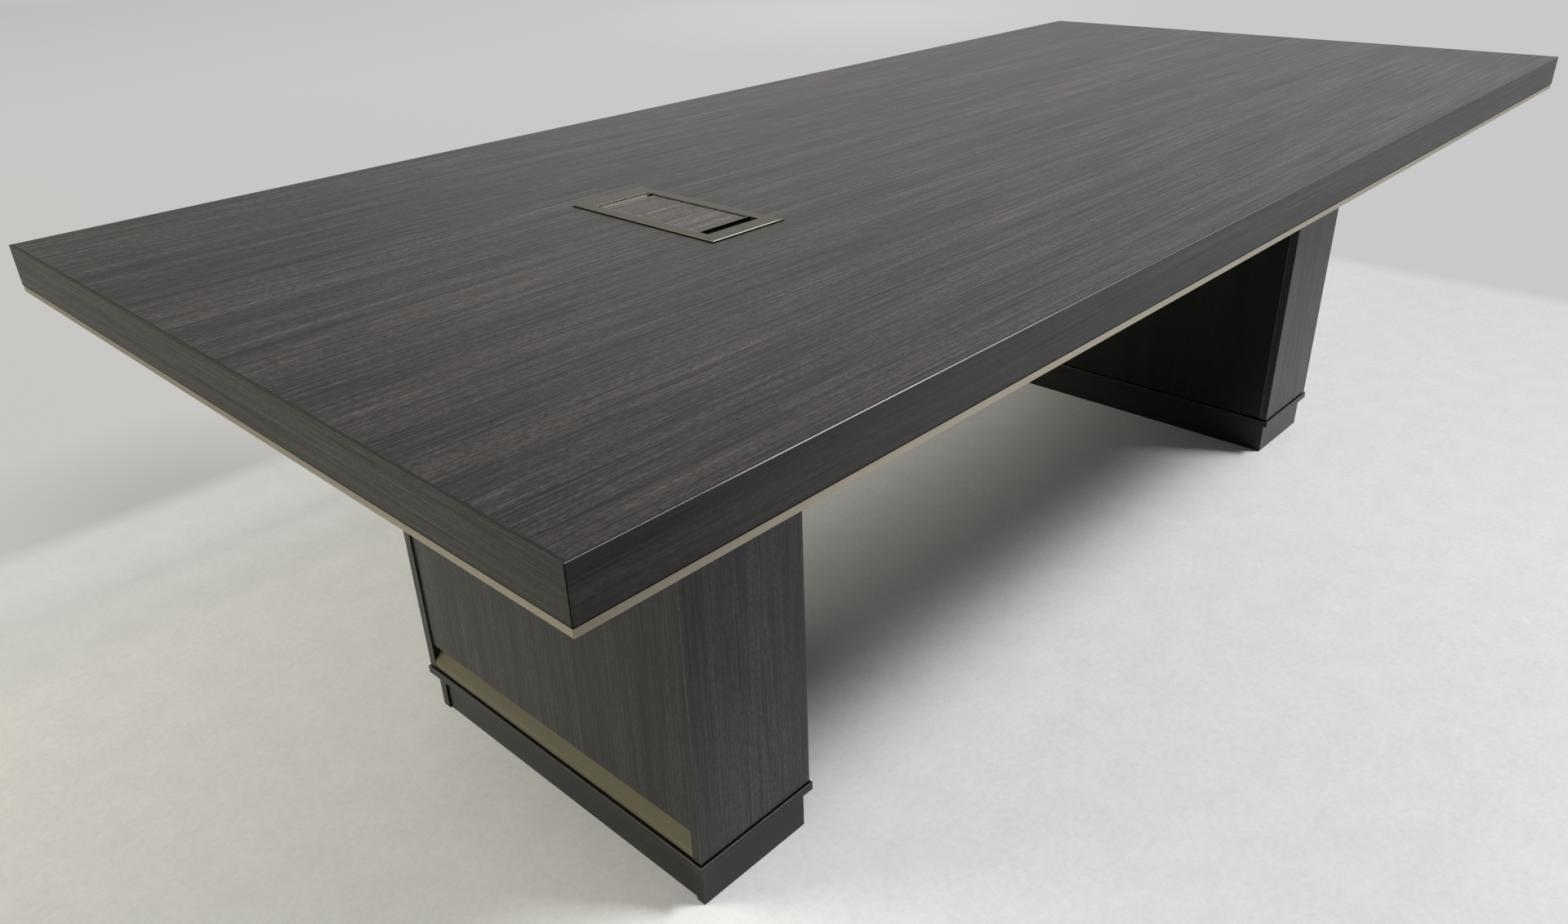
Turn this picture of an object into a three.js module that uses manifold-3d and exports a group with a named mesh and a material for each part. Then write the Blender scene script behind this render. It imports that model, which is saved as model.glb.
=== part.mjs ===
// Conference table: a thick dark wood top with a champagne metal line under its edge, on two slab
// pedestals, with a flip-lid power box let into the top.
// Millimetres, +X along the table, +Y across it, +Z up, origin on the floor under the centre.
import * as THREE from "three";
import { mergeVertices } from "three/addons/utils/BufferGeometryUtils.js";
import Module from "manifold-3d";

// Whole table
const TABLE_LENGTH = 2400;
const TABLE_WIDTH = 1110;
const TABLE_HEIGHT = 755;

// Gaps: a glue line between boards, a seat between loose or turned pieces
const GLUE_LINE = 0.1;
const SEAT_GAP = 0.3;

// Top
const TOP_PANEL_THICKNESS = 25;
const TOP_EDGE_HEIGHT = 51;
const EDGE_BAND_THICKNESS = 3;
const EDGE_BAND_ARRIS = 1;
const BUILD_UP_WIDTH = 70;
const TRIM_HEIGHT = 8.25;
const TRIM_WIDTH = 25;
const TRIM_INSET = 0.75;
const TRIM_ARRIS = 0.5;

// Pedestals
const PEDESTAL_FROM_TABLE_END = 396;
const BODY_WIDTH = 600;
const BODY_DEPTH = 194;
const BODY_PANEL_THICKNESS = 15;
const OUTER_PANEL_RECESS = 3;
const SILL_OPENING_HEIGHT = 41.5;
const TOP_PLATE_THICKNESS = 18;
const BASE_BOARD_THICKNESS = 15;
const BASE_BOARD_LIP = 3;
const PLINTH_HEIGHT = 61;
const PLINTH_SETBACK = 9;
const PLINTH_BOARD_THICKNESS = 15;
const PLINTH_OUTER_RECESS = 3;

// Bent metal sill at the foot of each pedestal's outer face
const SILL_SHEET = 1.5;
const SILL_LIP_HEIGHT = 12;
const SILL_LIP_SETBACK = 1;
const SILL_SLOPE_DEGREES = 56;
const SILL_FOOT_DEPTH = 20;
const SILL_FLANGE_HEIGHT = 25;

// Screws from each pedestal's top plate up into its bearer
const FIXING_SHANK_RADIUS = 2.5;
const FIXING_HEAD_RADIUS = 5;
const FIXING_HEAD_HEIGHT = 3.5;
const FIXING_BITE = 18;
const FIXING_FROM_END = 60;
const FIXING_FROM_SIDE = 35;

// Power box in the top, with its frame standing on the panel
const BOX_FROM_PEDESTAL = 101;
const FRAME_WIDTH = 116;
const FRAME_LENGTH = 260;
const FRAME_HEIGHT = 2;
const FRAME_ARRIS = 0.8;
const FRAME_SIDE_RAIL = 15.5;
const FRAME_SLOT_RAIL = 25;
const FRAME_HINGE_RAIL = 29;
const SKIRT_SHEET = 1.5;
const SKIRT_DEPTH = 14;
const HOUSING_DEPTH = 95;
const HOUSING_WALL = 1.5;
const CUT_OUT_CLEARANCE = 2;

// Lid with a hinge barrel at one end and a cable slot past the other
const CABLE_SLOT_WIDTH = 16;
const LID_THICKNESS = 5;
const LID_DROP = 0.4;
const LID_SIDE_GAP = 0.7;
const LID_RIM = 1;
const INLAY_THICKNESS = 2;
const BARREL_RADIUS = 4.3;
const BARREL_GAP = 0.9;
const BARREL_LAND = 8;
const PIN_RADIUS = 1.5;
const PIN_FIT = 0.15;
const PIN_RUNNING_GAP = 0.3;
const LID_STOP_LENGTH = 10;
const LID_STOP_REACH = 4;
const LID_STOP_HEIGHT = 3;
const LID_STOP_FROM_EDGE = 6;

// Sockets under the lid, each a square module dropped into the socket plate
const SOCKET_PLATE_DEPTH = 70;
const SOCKET_PLATE_SHEET = 1.5;
const SOCKET_FLANGE = 45;
const SOCKET_FLANGE_HEIGHT = 2;
const SOCKET_BODY = 41;
const SOCKET_BODY_HEIGHT = 16;
const SOCKET_PITCH = 55;
const BLADE_SLOT_WIDTH = 2.4;
const BLADE_SLOT_LENGTH = 8;
const BLADE_SLOT_SPACING = 12.7;
const BLADE_SLOT_DEPTH = 14;
const EARTH_HOLE_RADIUS = 2.6;
const EARTH_HOLE_OFFSET = 11.9;
const BLADE_OFFSET = 4;
const JACK_WIDTH = 12;
const JACK_LENGTH = 9;
const JACK_DEPTH = 14;
const JACK_SPACING = 18;

// Power inlet in the housing's end wall, below the socket plate
const INLET_FLANGE_WIDTH = 36;
const INLET_FLANGE_HEIGHT = 19.5;
const INLET_FLANGE_THICKNESS = 2;
const INLET_BODY_WIDTH = 28;
const INLET_BODY_HEIGHT = 17.5;
const INLET_BODY_DEPTH = 18;
const INLET_WELL_WIDTH = 24;
const INLET_WELL_HEIGHT = 14;
const INLET_WELL_DEPTH = 15;
const INLET_ABOVE_FLOOR = 1;

// Clamps that pull the frame down on the panel from below
const CLAMP_WIDTH = 30;
const CLAMP_SHEET = 2;
const CLAMP_FOOT = 22;
const CLAMP_LEG = 36;
const CLAMP_SCREW_DROP = 22;
const CLAMP_SCREW_RADIUS = 2;
const CLAMP_HEAD_RADIUS = 4;
const CLAMP_HEAD_HEIGHT = 2.5;
const CLAMP_SCREW_TIP = 1;

// Sides of a round piece
const ROUND_SIDES = 20;

// Levels above the floor
const TOP_UNDERSIDE = TABLE_HEIGHT - TOP_EDGE_HEIGHT;
const PANEL_UNDERSIDE = TABLE_HEIGHT - TOP_PANEL_THICKNESS;
const BASE_BOARD_UNDERSIDE = PLINTH_HEIGHT + GLUE_LINE;
const BASE_BOARD_TOP = BASE_BOARD_UNDERSIDE + BASE_BOARD_THICKNESS;
const BODY_BOTTOM = BASE_BOARD_TOP + GLUE_LINE;
const BODY_TOP = TOP_UNDERSIDE - GLUE_LINE;

// Pedestal centres, from the table's centre, and faces, from the pedestal's centre
const PEDESTAL_X = TABLE_LENGTH / 2 - PEDESTAL_FROM_TABLE_END;
const BODY_INSIDE_WIDTH = BODY_WIDTH - 2 * BODY_PANEL_THICKNESS;
const OUTER_PANEL_BACK = BODY_DEPTH / 2 - OUTER_PANEL_RECESS - BODY_PANEL_THICKNESS;
const INNER_PANEL_FRONT = BODY_DEPTH / 2 - BODY_PANEL_THICKNESS;
const PLINTH_WIDTH = BODY_WIDTH + 2 * BASE_BOARD_LIP - 2 * PLINTH_SETBACK;
const PLINTH_DEPTH = BODY_DEPTH + 2 * BASE_BOARD_LIP - 2 * PLINTH_SETBACK;

// Power box faces, measured from the box's centre at the top's surface
const BOX_X = BODY_DEPTH / 2 + BOX_FROM_PEDESTAL - PEDESTAL_X;
const OPENING_X = FRAME_WIDTH / 2 - FRAME_SIDE_RAIL;
const OPENING_SLOT_END = FRAME_SLOT_RAIL - FRAME_LENGTH / 2;
const OPENING_HINGE_END = FRAME_LENGTH / 2 - FRAME_HINGE_RAIL;
const HOUSING_INSIDE_OFFSET = SKIRT_SHEET + SEAT_GAP;
const HOUSING_OUTSIDE_OFFSET = HOUSING_INSIDE_OFFSET + HOUSING_WALL;
const HOUSING_FLOOR = HOUSING_WALL - HOUSING_DEPTH;
const LID_TOP = FRAME_HEIGHT - LID_DROP;
const LID_UNDERSIDE = LID_TOP - LID_THICKNESS;
const LID_X = OPENING_X - LID_SIDE_GAP;
const LID_SLOT_END = OPENING_SLOT_END + CABLE_SLOT_WIDTH;
const HINGE_Y = OPENING_HINGE_END - BARREL_GAP - BARREL_RADIUS;
const HINGE_Z = LID_TOP - BARREL_RADIUS;
const CLAMP_SCREW_Z = -TOP_PANEL_THICKNESS - CLAMP_SCREW_DROP;
const SOCKET_ROW_MIDDLE = (OPENING_SLOT_END + OPENING_HINGE_END) / 2;

const wasm = await Module();
wasm.setup();

// Finishes
function finish(color, roughness, metalness) {
  return new THREE.MeshStandardMaterial({ color, roughness, metalness });
}

const darkWood = () => finish(0x4b4744, 0.55, 0);
const plainBoard = () => finish(0x8a7358, 0.8, 0);
const champagne = () => finish(0xa89a7c, 0.38, 0.9);
const blackSteel = () => finish(0x1c1c1d, 0.55, 0.5);
const brightSteel = () => finish(0xb4b4b2, 0.3, 1);
const blackPlastic = () => finish(0x232324, 0.5, 0);

// Solids: a geometry as a closed solid and back
function solidOf(geometry) {
  const bare = geometry.clone();
  bare.deleteAttribute("normal");
  bare.deleteAttribute("uv");
  const merged = mergeVertices(bare);
  return new wasm.Manifold(
    new wasm.Mesh({
      numProp: 3,
      vertProperties: new Float32Array(merged.attributes.position.array),
      triVerts: new Uint32Array(merged.index.array),
    }),
  );
}

function geometryOf(solid) {
  const mesh = solid.getMesh();
  const geometry = new THREE.BufferGeometry();
  geometry.setAttribute("position", new THREE.BufferAttribute(new Float32Array(mesh.vertProperties), 3));
  geometry.setIndex(new THREE.BufferAttribute(new Uint32Array(mesh.triVerts), 1));
  geometry.computeVertexNormals();
  return geometry;
}

function cut(geometry, tools) {
  return geometryOf(tools.reduce((left, tool) => left.subtract(solidOf(tool)), solidOf(geometry)));
}

function join(geometry, additions) {
  return geometryOf(additions.reduce((whole, piece) => whole.add(solidOf(piece)), solidOf(geometry)));
}

// Shapes: a block between two corners, a profile run along an axis, a round bar along an axis
function block([x0, x1], [y0, y1], [z0, z1]) {
  const geometry = new THREE.BoxGeometry(x1 - x0, y1 - y0, z1 - z0);
  return geometry.translate((x0 + x1) / 2, (y0 + y1) / 2, (z0 + z1) / 2);
}

const AXIS = {
  x: new THREE.Vector3(1, 0, 0),
  y: new THREE.Vector3(0, 1, 0),
  z: new THREE.Vector3(0, 0, 1),
};

// The profile's first coordinate runs along Y for axis x and along X for axis y; its second is Z.
function extrudeAlong(axis, shape, length) {
  const geometry = new THREE.ExtrudeGeometry(shape, { depth: length, bevelEnabled: false });
  geometry.translate(0, 0, -length / 2);
  const turn = new THREE.Matrix4();
  if (axis === "x") turn.makeBasis(AXIS.y, AXIS.z, AXIS.x);
  if (axis === "y") turn.makeBasis(AXIS.x, AXIS.z, AXIS.y.clone().negate());
  return geometry.applyMatrix4(turn);
}

function roundBar(axis, radius, length) {
  const geometry = new THREE.CylinderGeometry(radius, radius, length, ROUND_SIDES);
  if (axis === "x") geometry.rotateZ(Math.PI / 2);
  if (axis === "z") geometry.rotateX(Math.PI / 2);
  return geometry;
}

// A bent sheet: the outline of a path of straight runs, thickened to its left
function bentSheet(path, thickness) {
  const points = path.map(([a, b]) => new THREE.Vector2(a, b));
  const normals = points.slice(1).map((point, i) => {
    const run = point.clone().sub(points[i]).normalize();
    return new THREE.Vector2(-run.y, run.x);
  });
  const inside = points.map((point, i) => {
    const before = normals[Math.max(i - 1, 0)];
    const after = normals[Math.min(i, normals.length - 1)];
    const mitre = before.clone().add(after);
    return point.clone().addScaledVector(mitre, thickness / (1 + before.dot(after)));
  });
  return new THREE.Shape([...points, ...inside.reverse()]);
}

// Nodes
function piece(name, geometry, material) {
  const mesh = new THREE.Mesh(geometry, material);
  mesh.name = name;
  return mesh;
}

function board(name, material, [x0, x1], [y0, y1], [z0, z1]) {
  const mesh = piece(name, new THREE.BoxGeometry(x1 - x0, y1 - y0, z1 - z0), material);
  mesh.position.set((x0 + x1) / 2, (y0 + y1) / 2, (z0 + z1) / 2);
  return mesh;
}

// Top panel
function topPanel() {
  const border = EDGE_BAND_THICKNESS + SEAT_GAP;
  const halfLength = TABLE_LENGTH / 2 - border;
  const halfWidth = TABLE_WIDTH / 2 - border;
  const slab = block([-halfLength, halfLength], [-halfWidth, halfWidth], [PANEL_UNDERSIDE, TABLE_HEIGHT]);
  const margin = HOUSING_OUTSIDE_OFFSET + CUT_OUT_CLEARANCE;
  const cutOut = block(
    [BOX_X - OPENING_X - margin, BOX_X + OPENING_X + margin],
    [OPENING_SLOT_END - margin, OPENING_HINGE_END + margin],
    [PANEL_UNDERSIDE - margin, TABLE_HEIGHT + margin],
  );
  return piece("top_panel", cut(slab, [cutOut]), darkWood());
}

// A strip with mitred ends: outer face on y = 0, its thickness towards +Y, lying along X
function mitredStrip(profile, length, thickness, height) {
  const overrun = thickness;
  const wedge = (side) => {
    const tip = (side * length) / 2;
    const mitre = (y) => new THREE.Vector2(tip - side * (y + SEAT_GAP / 2), y);
    const past = (y) => new THREE.Vector2(tip + 2 * side * overrun, y);
    const near = -overrun;
    const far = thickness + overrun;
    const plan = new THREE.Shape([mitre(near), past(near), past(far), mitre(far)]);
    const prism = new THREE.ExtrudeGeometry(plan, { depth: 2 * height, bevelEnabled: false });
    return prism.translate(0, 0, -height / 2);
  };
  return cut(extrudeAlong("x", profile, length), [wedge(-1), wedge(1)]);
}

// The four sides of a border, each turned to face outwards
function border(name, inset, makeStrip, bottom) {
  const halfLength = TABLE_LENGTH / 2 - inset;
  const halfWidth = TABLE_WIDTH / 2 - inset;
  const sides = [
    { side: "front", length: 2 * halfLength, x: 0, y: -halfWidth, turn: 0 },
    { side: "right", length: 2 * halfWidth, x: halfLength, y: 0, turn: Math.PI / 2 },
    { side: "back", length: 2 * halfLength, x: 0, y: halfWidth, turn: Math.PI },
    { side: "left", length: 2 * halfWidth, x: -halfLength, y: 0, turn: -Math.PI / 2 },
  ];
  return sides.map(({ side, length, x, y, turn }) => {
    const mesh = makeStrip(`${name}_${side}`, length);
    mesh.position.set(x, y, bottom);
    mesh.rotation.z = turn;
    return mesh;
  });
}

function edgeBand(name, length) {
  const profile = new THREE.Shape([
    new THREE.Vector2(0, 0),
    new THREE.Vector2(EDGE_BAND_THICKNESS, 0),
    new THREE.Vector2(EDGE_BAND_THICKNESS, TOP_EDGE_HEIGHT),
    new THREE.Vector2(EDGE_BAND_ARRIS, TOP_EDGE_HEIGHT),
    new THREE.Vector2(0, TOP_EDGE_HEIGHT - EDGE_BAND_ARRIS),
  ]);
  return piece(name, mitredStrip(profile, length, EDGE_BAND_THICKNESS, TOP_EDGE_HEIGHT), darkWood());
}

function trimBar(name, length) {
  const profile = new THREE.Shape([
    new THREE.Vector2(TRIM_ARRIS, 0),
    new THREE.Vector2(TRIM_WIDTH, 0),
    new THREE.Vector2(TRIM_WIDTH, TRIM_HEIGHT),
    new THREE.Vector2(0, TRIM_HEIGHT),
    new THREE.Vector2(0, TRIM_ARRIS),
  ]);
  return piece(name, mitredStrip(profile, length, TRIM_WIDTH, TRIM_HEIGHT), champagne());
}

// Build-up strips glued under the panel, the short ones between the long ones
function buildUpStrips() {
  const outside = EDGE_BAND_THICKNESS + SEAT_GAP;
  const halfLength = TABLE_LENGTH / 2 - outside;
  const halfWidth = TABLE_WIDTH / 2 - outside;
  const insideY = halfWidth - BUILD_UP_WIDTH;
  const insideX = halfLength - BUILD_UP_WIDTH;
  const level = [TOP_UNDERSIDE, PANEL_UNDERSIDE - GLUE_LINE];
  const shortRun = [GLUE_LINE - insideY, insideY - GLUE_LINE];
  return [
    board("build_up_front", plainBoard(), [-halfLength, halfLength], [-halfWidth, -insideY], level),
    board("build_up_back", plainBoard(), [-halfLength, halfLength], [insideY, halfWidth], level),
    board("build_up_left", plainBoard(), [-halfLength, -insideX], shortRun, level),
    board("build_up_right", plainBoard(), [insideX, halfLength], shortRun, level),
  ];
}

// Places of a pedestal's fixing screws, from the pedestal's centre
function fixingPlaces(side) {
  const nearOuter = side * (OUTER_PANEL_BACK - FIXING_FROM_SIDE);
  const nearInner = -side * (INNER_PANEL_FRONT - FIXING_FROM_SIDE);
  const y = BODY_INSIDE_WIDTH / 2 - FIXING_FROM_END;
  return [
    [nearOuter, -y],
    [nearOuter, y],
    [nearInner, -y],
    [nearInner, y],
  ];
}

function fixingHole(x, y) {
  const length = 2 * (TOP_PLATE_THICKNESS + FIXING_BITE);
  return roundBar("z", FIXING_SHANK_RADIUS + SEAT_GAP, length).translate(x, y, BODY_TOP);
}

// A bearer board over each pedestal, glued under the panel, with blind holes for the screws
function bearer(name, side) {
  const outside = EDGE_BAND_THICKNESS + SEAT_GAP + BUILD_UP_WIDTH + GLUE_LINE;
  const halfWidth = TABLE_WIDTH / 2 - outside;
  const plank = block(
    [-BODY_DEPTH / 2, BODY_DEPTH / 2],
    [-halfWidth, halfWidth],
    [TOP_UNDERSIDE, PANEL_UNDERSIDE - GLUE_LINE],
  );
  const holes = fixingPlaces(side).map(([x, y]) => {
    const depth = FIXING_BITE + SEAT_GAP;
    return roundBar("z", FIXING_SHANK_RADIUS + SEAT_GAP, 2 * depth).translate(x, y, TOP_UNDERSIDE);
  });
  const mesh = piece(name, cut(plank, holes), plainBoard());
  mesh.position.x = side * PEDESTAL_X;
  return mesh;
}

function topAssembly() {
  const group = new THREE.Group();
  group.add(topPanel());
  group.add(...border("edge_band", 0, edgeBand, TOP_UNDERSIDE));
  group.add(...buildUpStrips());
  group.add(...border("trim", TRIM_INSET, trimBar, TOP_UNDERSIDE - SEAT_GAP - TRIM_HEIGHT));
  group.add(bearer("bearer_left", -1), bearer("bearer_right", 1));
  return group;
}

// Body panels of a pedestal; side is -1 for the left one and 1 for the right one, and points outwards
function span(a, b) {
  return a < b ? [a, b] : [b, a];
}

function bodyPanels(label, side) {
  const depth = [-BODY_DEPTH / 2, BODY_DEPTH / 2];
  const inside = BODY_INSIDE_WIDTH / 2;
  const outside = BODY_WIDTH / 2;
  const fitted = [GLUE_LINE - inside, inside - GLUE_LINE];
  const level = [BODY_BOTTOM, BODY_TOP];
  const outerLevel = [BASE_BOARD_TOP + SILL_OPENING_HEIGHT, BODY_TOP];
  const outerRun = span(side * OUTER_PANEL_BACK, side * (OUTER_PANEL_BACK + BODY_PANEL_THICKNESS));
  const innerRun = span(-side * INNER_PANEL_FRONT, (-side * BODY_DEPTH) / 2);
  return [
    board(`${label}_side_panel_front`, darkWood(), depth, [-outside, -inside], level),
    board(`${label}_side_panel_back`, darkWood(), depth, [inside, outside], level),
    board(`${label}_outer_panel`, darkWood(), outerRun, fitted, outerLevel),
    board(`${label}_inner_panel`, darkWood(), innerRun, fitted, level),
  ];
}

// The champagne sill: a foot on the base board, a lip, a slope and a flange behind the outer panel
function sill(label, side) {
  const lipFace = BODY_DEPTH / 2 - SILL_LIP_SETBACK;
  const flangeFace = OUTER_PANEL_BACK - SEAT_GAP;
  const rise = (lipFace - flangeFace) * Math.tan(THREE.MathUtils.degToRad(SILL_SLOPE_DEGREES));
  const footLevel = BASE_BOARD_TOP + SEAT_GAP;
  const slopeFoot = footLevel + SILL_LIP_HEIGHT;
  const slopeHead = slopeFoot + rise;
  const path = [
    [lipFace - SILL_FOOT_DEPTH, footLevel],
    [lipFace, footLevel],
    [lipFace, slopeFoot],
    [flangeFace, slopeHead],
    [flangeFace, slopeHead + SILL_FLANGE_HEIGHT],
  ];
  const profile = bentSheet(path, SILL_SHEET);
  const faced = new THREE.Shape(profile.getPoints().map((p) => new THREE.Vector2(side * p.x, p.y)));
  const length = BODY_INSIDE_WIDTH - 2 * SEAT_GAP;
  return piece(`${label}_sill`, extrudeAlong("y", faced, length), champagne());
}

// Top plate inside the body, with holes for its screws
function topPlate(label, side) {
  const fitted = BODY_INSIDE_WIDTH / 2 - GLUE_LINE;
  const plate = block(
    span(side * (OUTER_PANEL_BACK - GLUE_LINE), -side * (INNER_PANEL_FRONT - GLUE_LINE)),
    [-fitted, fitted],
    [BODY_TOP - TOP_PLATE_THICKNESS, BODY_TOP],
  );
  const holes = fixingPlaces(side).map(([x, y]) => fixingHole(x, y));
  return piece(`${label}_top_plate`, cut(plate, holes), plainBoard());
}

// A pan-head screw standing on its head, turned on its axis
function screwGeometry(shankRadius, headRadius, headHeight, shankLength) {
  const headEdge = headHeight / 2;
  const outline = [
    new THREE.Vector2(0, 0),
    new THREE.Vector2(headRadius - headEdge, 0),
    new THREE.Vector2(headRadius, headEdge),
    new THREE.Vector2(headRadius, headHeight),
    new THREE.Vector2(shankRadius, headHeight),
    new THREE.Vector2(shankRadius, headHeight + shankLength - shankRadius),
    new THREE.Vector2(0, headHeight + shankLength),
  ];
  return new THREE.LatheGeometry(outline, ROUND_SIDES).rotateX(Math.PI / 2);
}

function fixingScrews(label, side) {
  const length = TOP_PLATE_THICKNESS + GLUE_LINE + FIXING_BITE;
  return fixingPlaces(side).map(([x, y], i) => {
    const geometry = screwGeometry(FIXING_SHANK_RADIUS, FIXING_HEAD_RADIUS, FIXING_HEAD_HEIGHT, length);
    const mesh = piece(`${label}_fixing_screw_${i + 1}`, geometry, brightSteel());
    mesh.position.set(x, y, BODY_TOP - TOP_PLATE_THICKNESS - SEAT_GAP - FIXING_HEAD_HEIGHT);
    return mesh;
  });
}

// Base board and plinth
function baseBoards(label, side) {
  const boardX = BODY_DEPTH / 2 + BASE_BOARD_LIP;
  const boardY = BODY_WIDTH / 2 + BASE_BOARD_LIP;
  const halfDepth = PLINTH_DEPTH / 2;
  const halfWidth = PLINTH_WIDTH / 2;
  const inside = halfWidth - PLINTH_BOARD_THICKNESS;
  const fitted = [GLUE_LINE - inside, inside - GLUE_LINE];
  const depth = [-halfDepth, halfDepth];
  const level = [0, PLINTH_HEIGHT];
  const outerFace = halfDepth - PLINTH_OUTER_RECESS;
  const outerRun = span(side * outerFace, side * (outerFace - PLINTH_BOARD_THICKNESS));
  const innerRun = span(-side * halfDepth, -side * (halfDepth - PLINTH_BOARD_THICKNESS));
  const slabLevel = [BASE_BOARD_UNDERSIDE, BASE_BOARD_TOP];
  return [
    board(`${label}_base_board`, darkWood(), [-boardX, boardX], [-boardY, boardY], slabLevel),
    board(`${label}_plinth_front`, darkWood(), depth, [-halfWidth, -inside], level),
    board(`${label}_plinth_back`, darkWood(), depth, [inside, halfWidth], level),
    board(`${label}_plinth_outer`, darkWood(), outerRun, fitted, level),
    board(`${label}_plinth_inner`, darkWood(), innerRun, fitted, level),
  ];
}

function pedestal(label, side) {
  const group = new THREE.Group();
  group.position.x = side * PEDESTAL_X;
  group.add(...bodyPanels(label, side), sill(label, side), topPlate(label, side));
  group.add(...fixingScrews(label, side), ...baseBoards(label, side));
  return group;
}

// Power box frame: a raised plate with a skirt turned down round its opening and two stops for the lid
function boxFrame() {
  const outline = new THREE.Shape();
  const x = FRAME_WIDTH / 2 - FRAME_ARRIS;
  const y = FRAME_LENGTH / 2 - FRAME_ARRIS;
  outline.moveTo(-x, -y).lineTo(x, -y).lineTo(x, y).lineTo(-x, y);
  const plate = new THREE.ExtrudeGeometry(outline, {
    depth: FRAME_HEIGHT,
    bevelThickness: FRAME_ARRIS,
    bevelSize: FRAME_ARRIS,
    bevelSegments: 1,
  }).translate(0, 0, -FRAME_ARRIS);
  const below = block([-FRAME_WIDTH, FRAME_WIDTH], [-FRAME_LENGTH, FRAME_LENGTH], [-SKIRT_DEPTH, SEAT_GAP]);
  const skirtX = OPENING_X + SKIRT_SHEET;
  const skirt = block(
    [-skirtX, skirtX],
    [OPENING_SLOT_END - SKIRT_SHEET, OPENING_HINGE_END + SKIRT_SHEET],
    [-SKIRT_DEPTH, FRAME_HEIGHT],
  );
  const opening = block(
    [-OPENING_X, OPENING_X],
    [OPENING_SLOT_END, OPENING_HINGE_END],
    [-2 * SKIRT_DEPTH, 2 * SKIRT_DEPTH],
  );
  const walled = cut(join(cut(plate, [below]), [skirt]), [opening]);
  const pinHole = roundBar("x", PIN_RADIUS + PIN_FIT, 2 * FRAME_WIDTH).translate(0, HINGE_Y, HINGE_Z);
  const drilled = cut(walled, [pinHole]);
  return piece("box_frame", join(drilled, [lidStop(-1), lidStop(1)]), champagne());
}

function lidStop(side) {
  const top = LID_UNDERSIDE - SEAT_GAP;
  const near = LID_SLOT_END + LID_STOP_FROM_EDGE;
  return block(
    span(side * (OPENING_X - LID_STOP_REACH), side * (OPENING_X + SKIRT_SHEET / 2)),
    [near, near + LID_STOP_LENGTH],
    [top - LID_STOP_HEIGHT, top],
  );
}

// Housing: a folded steel box open at the top, with holes for the inlet and the clamp screws
function boxHousing() {
  const box = (offset, bottom, top) =>
    block(
      [-OPENING_X - offset, OPENING_X + offset],
      [OPENING_SLOT_END - offset, OPENING_HINGE_END + offset],
      [bottom, top],
    );
  const shell = box(HOUSING_OUTSIDE_OFFSET, -HOUSING_DEPTH, 0);
  const hollow = box(HOUSING_INSIDE_OFFSET, HOUSING_FLOOR, HOUSING_DEPTH);
  const inletHole = block(
    [-INLET_BODY_WIDTH / 2 - SEAT_GAP, INLET_BODY_WIDTH / 2 + SEAT_GAP],
    [OPENING_HINGE_END, OPENING_HINGE_END + 2 * HOUSING_OUTSIDE_OFFSET],
    [inletMiddle() - INLET_BODY_HEIGHT / 2 - SEAT_GAP, inletMiddle() + INLET_BODY_HEIGHT / 2 + SEAT_GAP],
  );
  const screwHole = (y) =>
    roundBar("y", CLAMP_SCREW_RADIUS + PIN_FIT, 4 * HOUSING_OUTSIDE_OFFSET).translate(0, y, CLAMP_SCREW_Z);
  const tools = [hollow, inletHole, screwHole(OPENING_SLOT_END), screwHole(OPENING_HINGE_END)];
  return piece("box_housing", cut(shell, tools), blackSteel());
}

// Lid: a metal tray whose hinge end is a round barrel, and the wood inlay in it
function lidTray() {
  const profile = new THREE.Shape();
  const barrelStart = Math.PI + Math.asin((HINGE_Z - LID_UNDERSIDE) / BARREL_RADIUS);
  profile.moveTo(LID_SLOT_END, LID_UNDERSIDE);
  profile.absarc(HINGE_Y, HINGE_Z, BARREL_RADIUS, barrelStart, 2.5 * Math.PI, false);
  profile.lineTo(LID_SLOT_END, LID_TOP);
  const bore = new THREE.Path();
  bore.absarc(HINGE_Y, HINGE_Z, PIN_RADIUS + PIN_RUNNING_GAP, 0, 2 * Math.PI, true);
  profile.holes.push(bore);
  const tray = extrudeAlong("x", profile, 2 * LID_X);
  const { x, y } = inlayRecess();
  const recess = block([-x, x], y, [LID_TOP - INLAY_THICKNESS, LID_TOP + INLAY_THICKNESS]);
  return piece("lid_tray", cut(tray, [recess]), champagne());
}

function inlayRecess() {
  return { x: LID_X - LID_RIM, y: [LID_SLOT_END + LID_RIM, HINGE_Y - BARREL_LAND] };
}

function lidInlay() {
  const { x, y } = inlayRecess();
  const width = x - SEAT_GAP;
  const length = [y[0] + SEAT_GAP, y[1] - SEAT_GAP];
  const level = [LID_TOP - INLAY_THICKNESS + GLUE_LINE, LID_TOP];
  return board("lid_inlay", darkWood(), [-width, width], length, level);
}

function hingePin() {
  const mesh = piece("hinge_pin", roundBar("x", PIN_RADIUS, 2 * (OPENING_X + SKIRT_SHEET)), brightSteel());
  mesh.position.set(0, HINGE_Y, HINGE_Z);
  return mesh;
}

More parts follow.
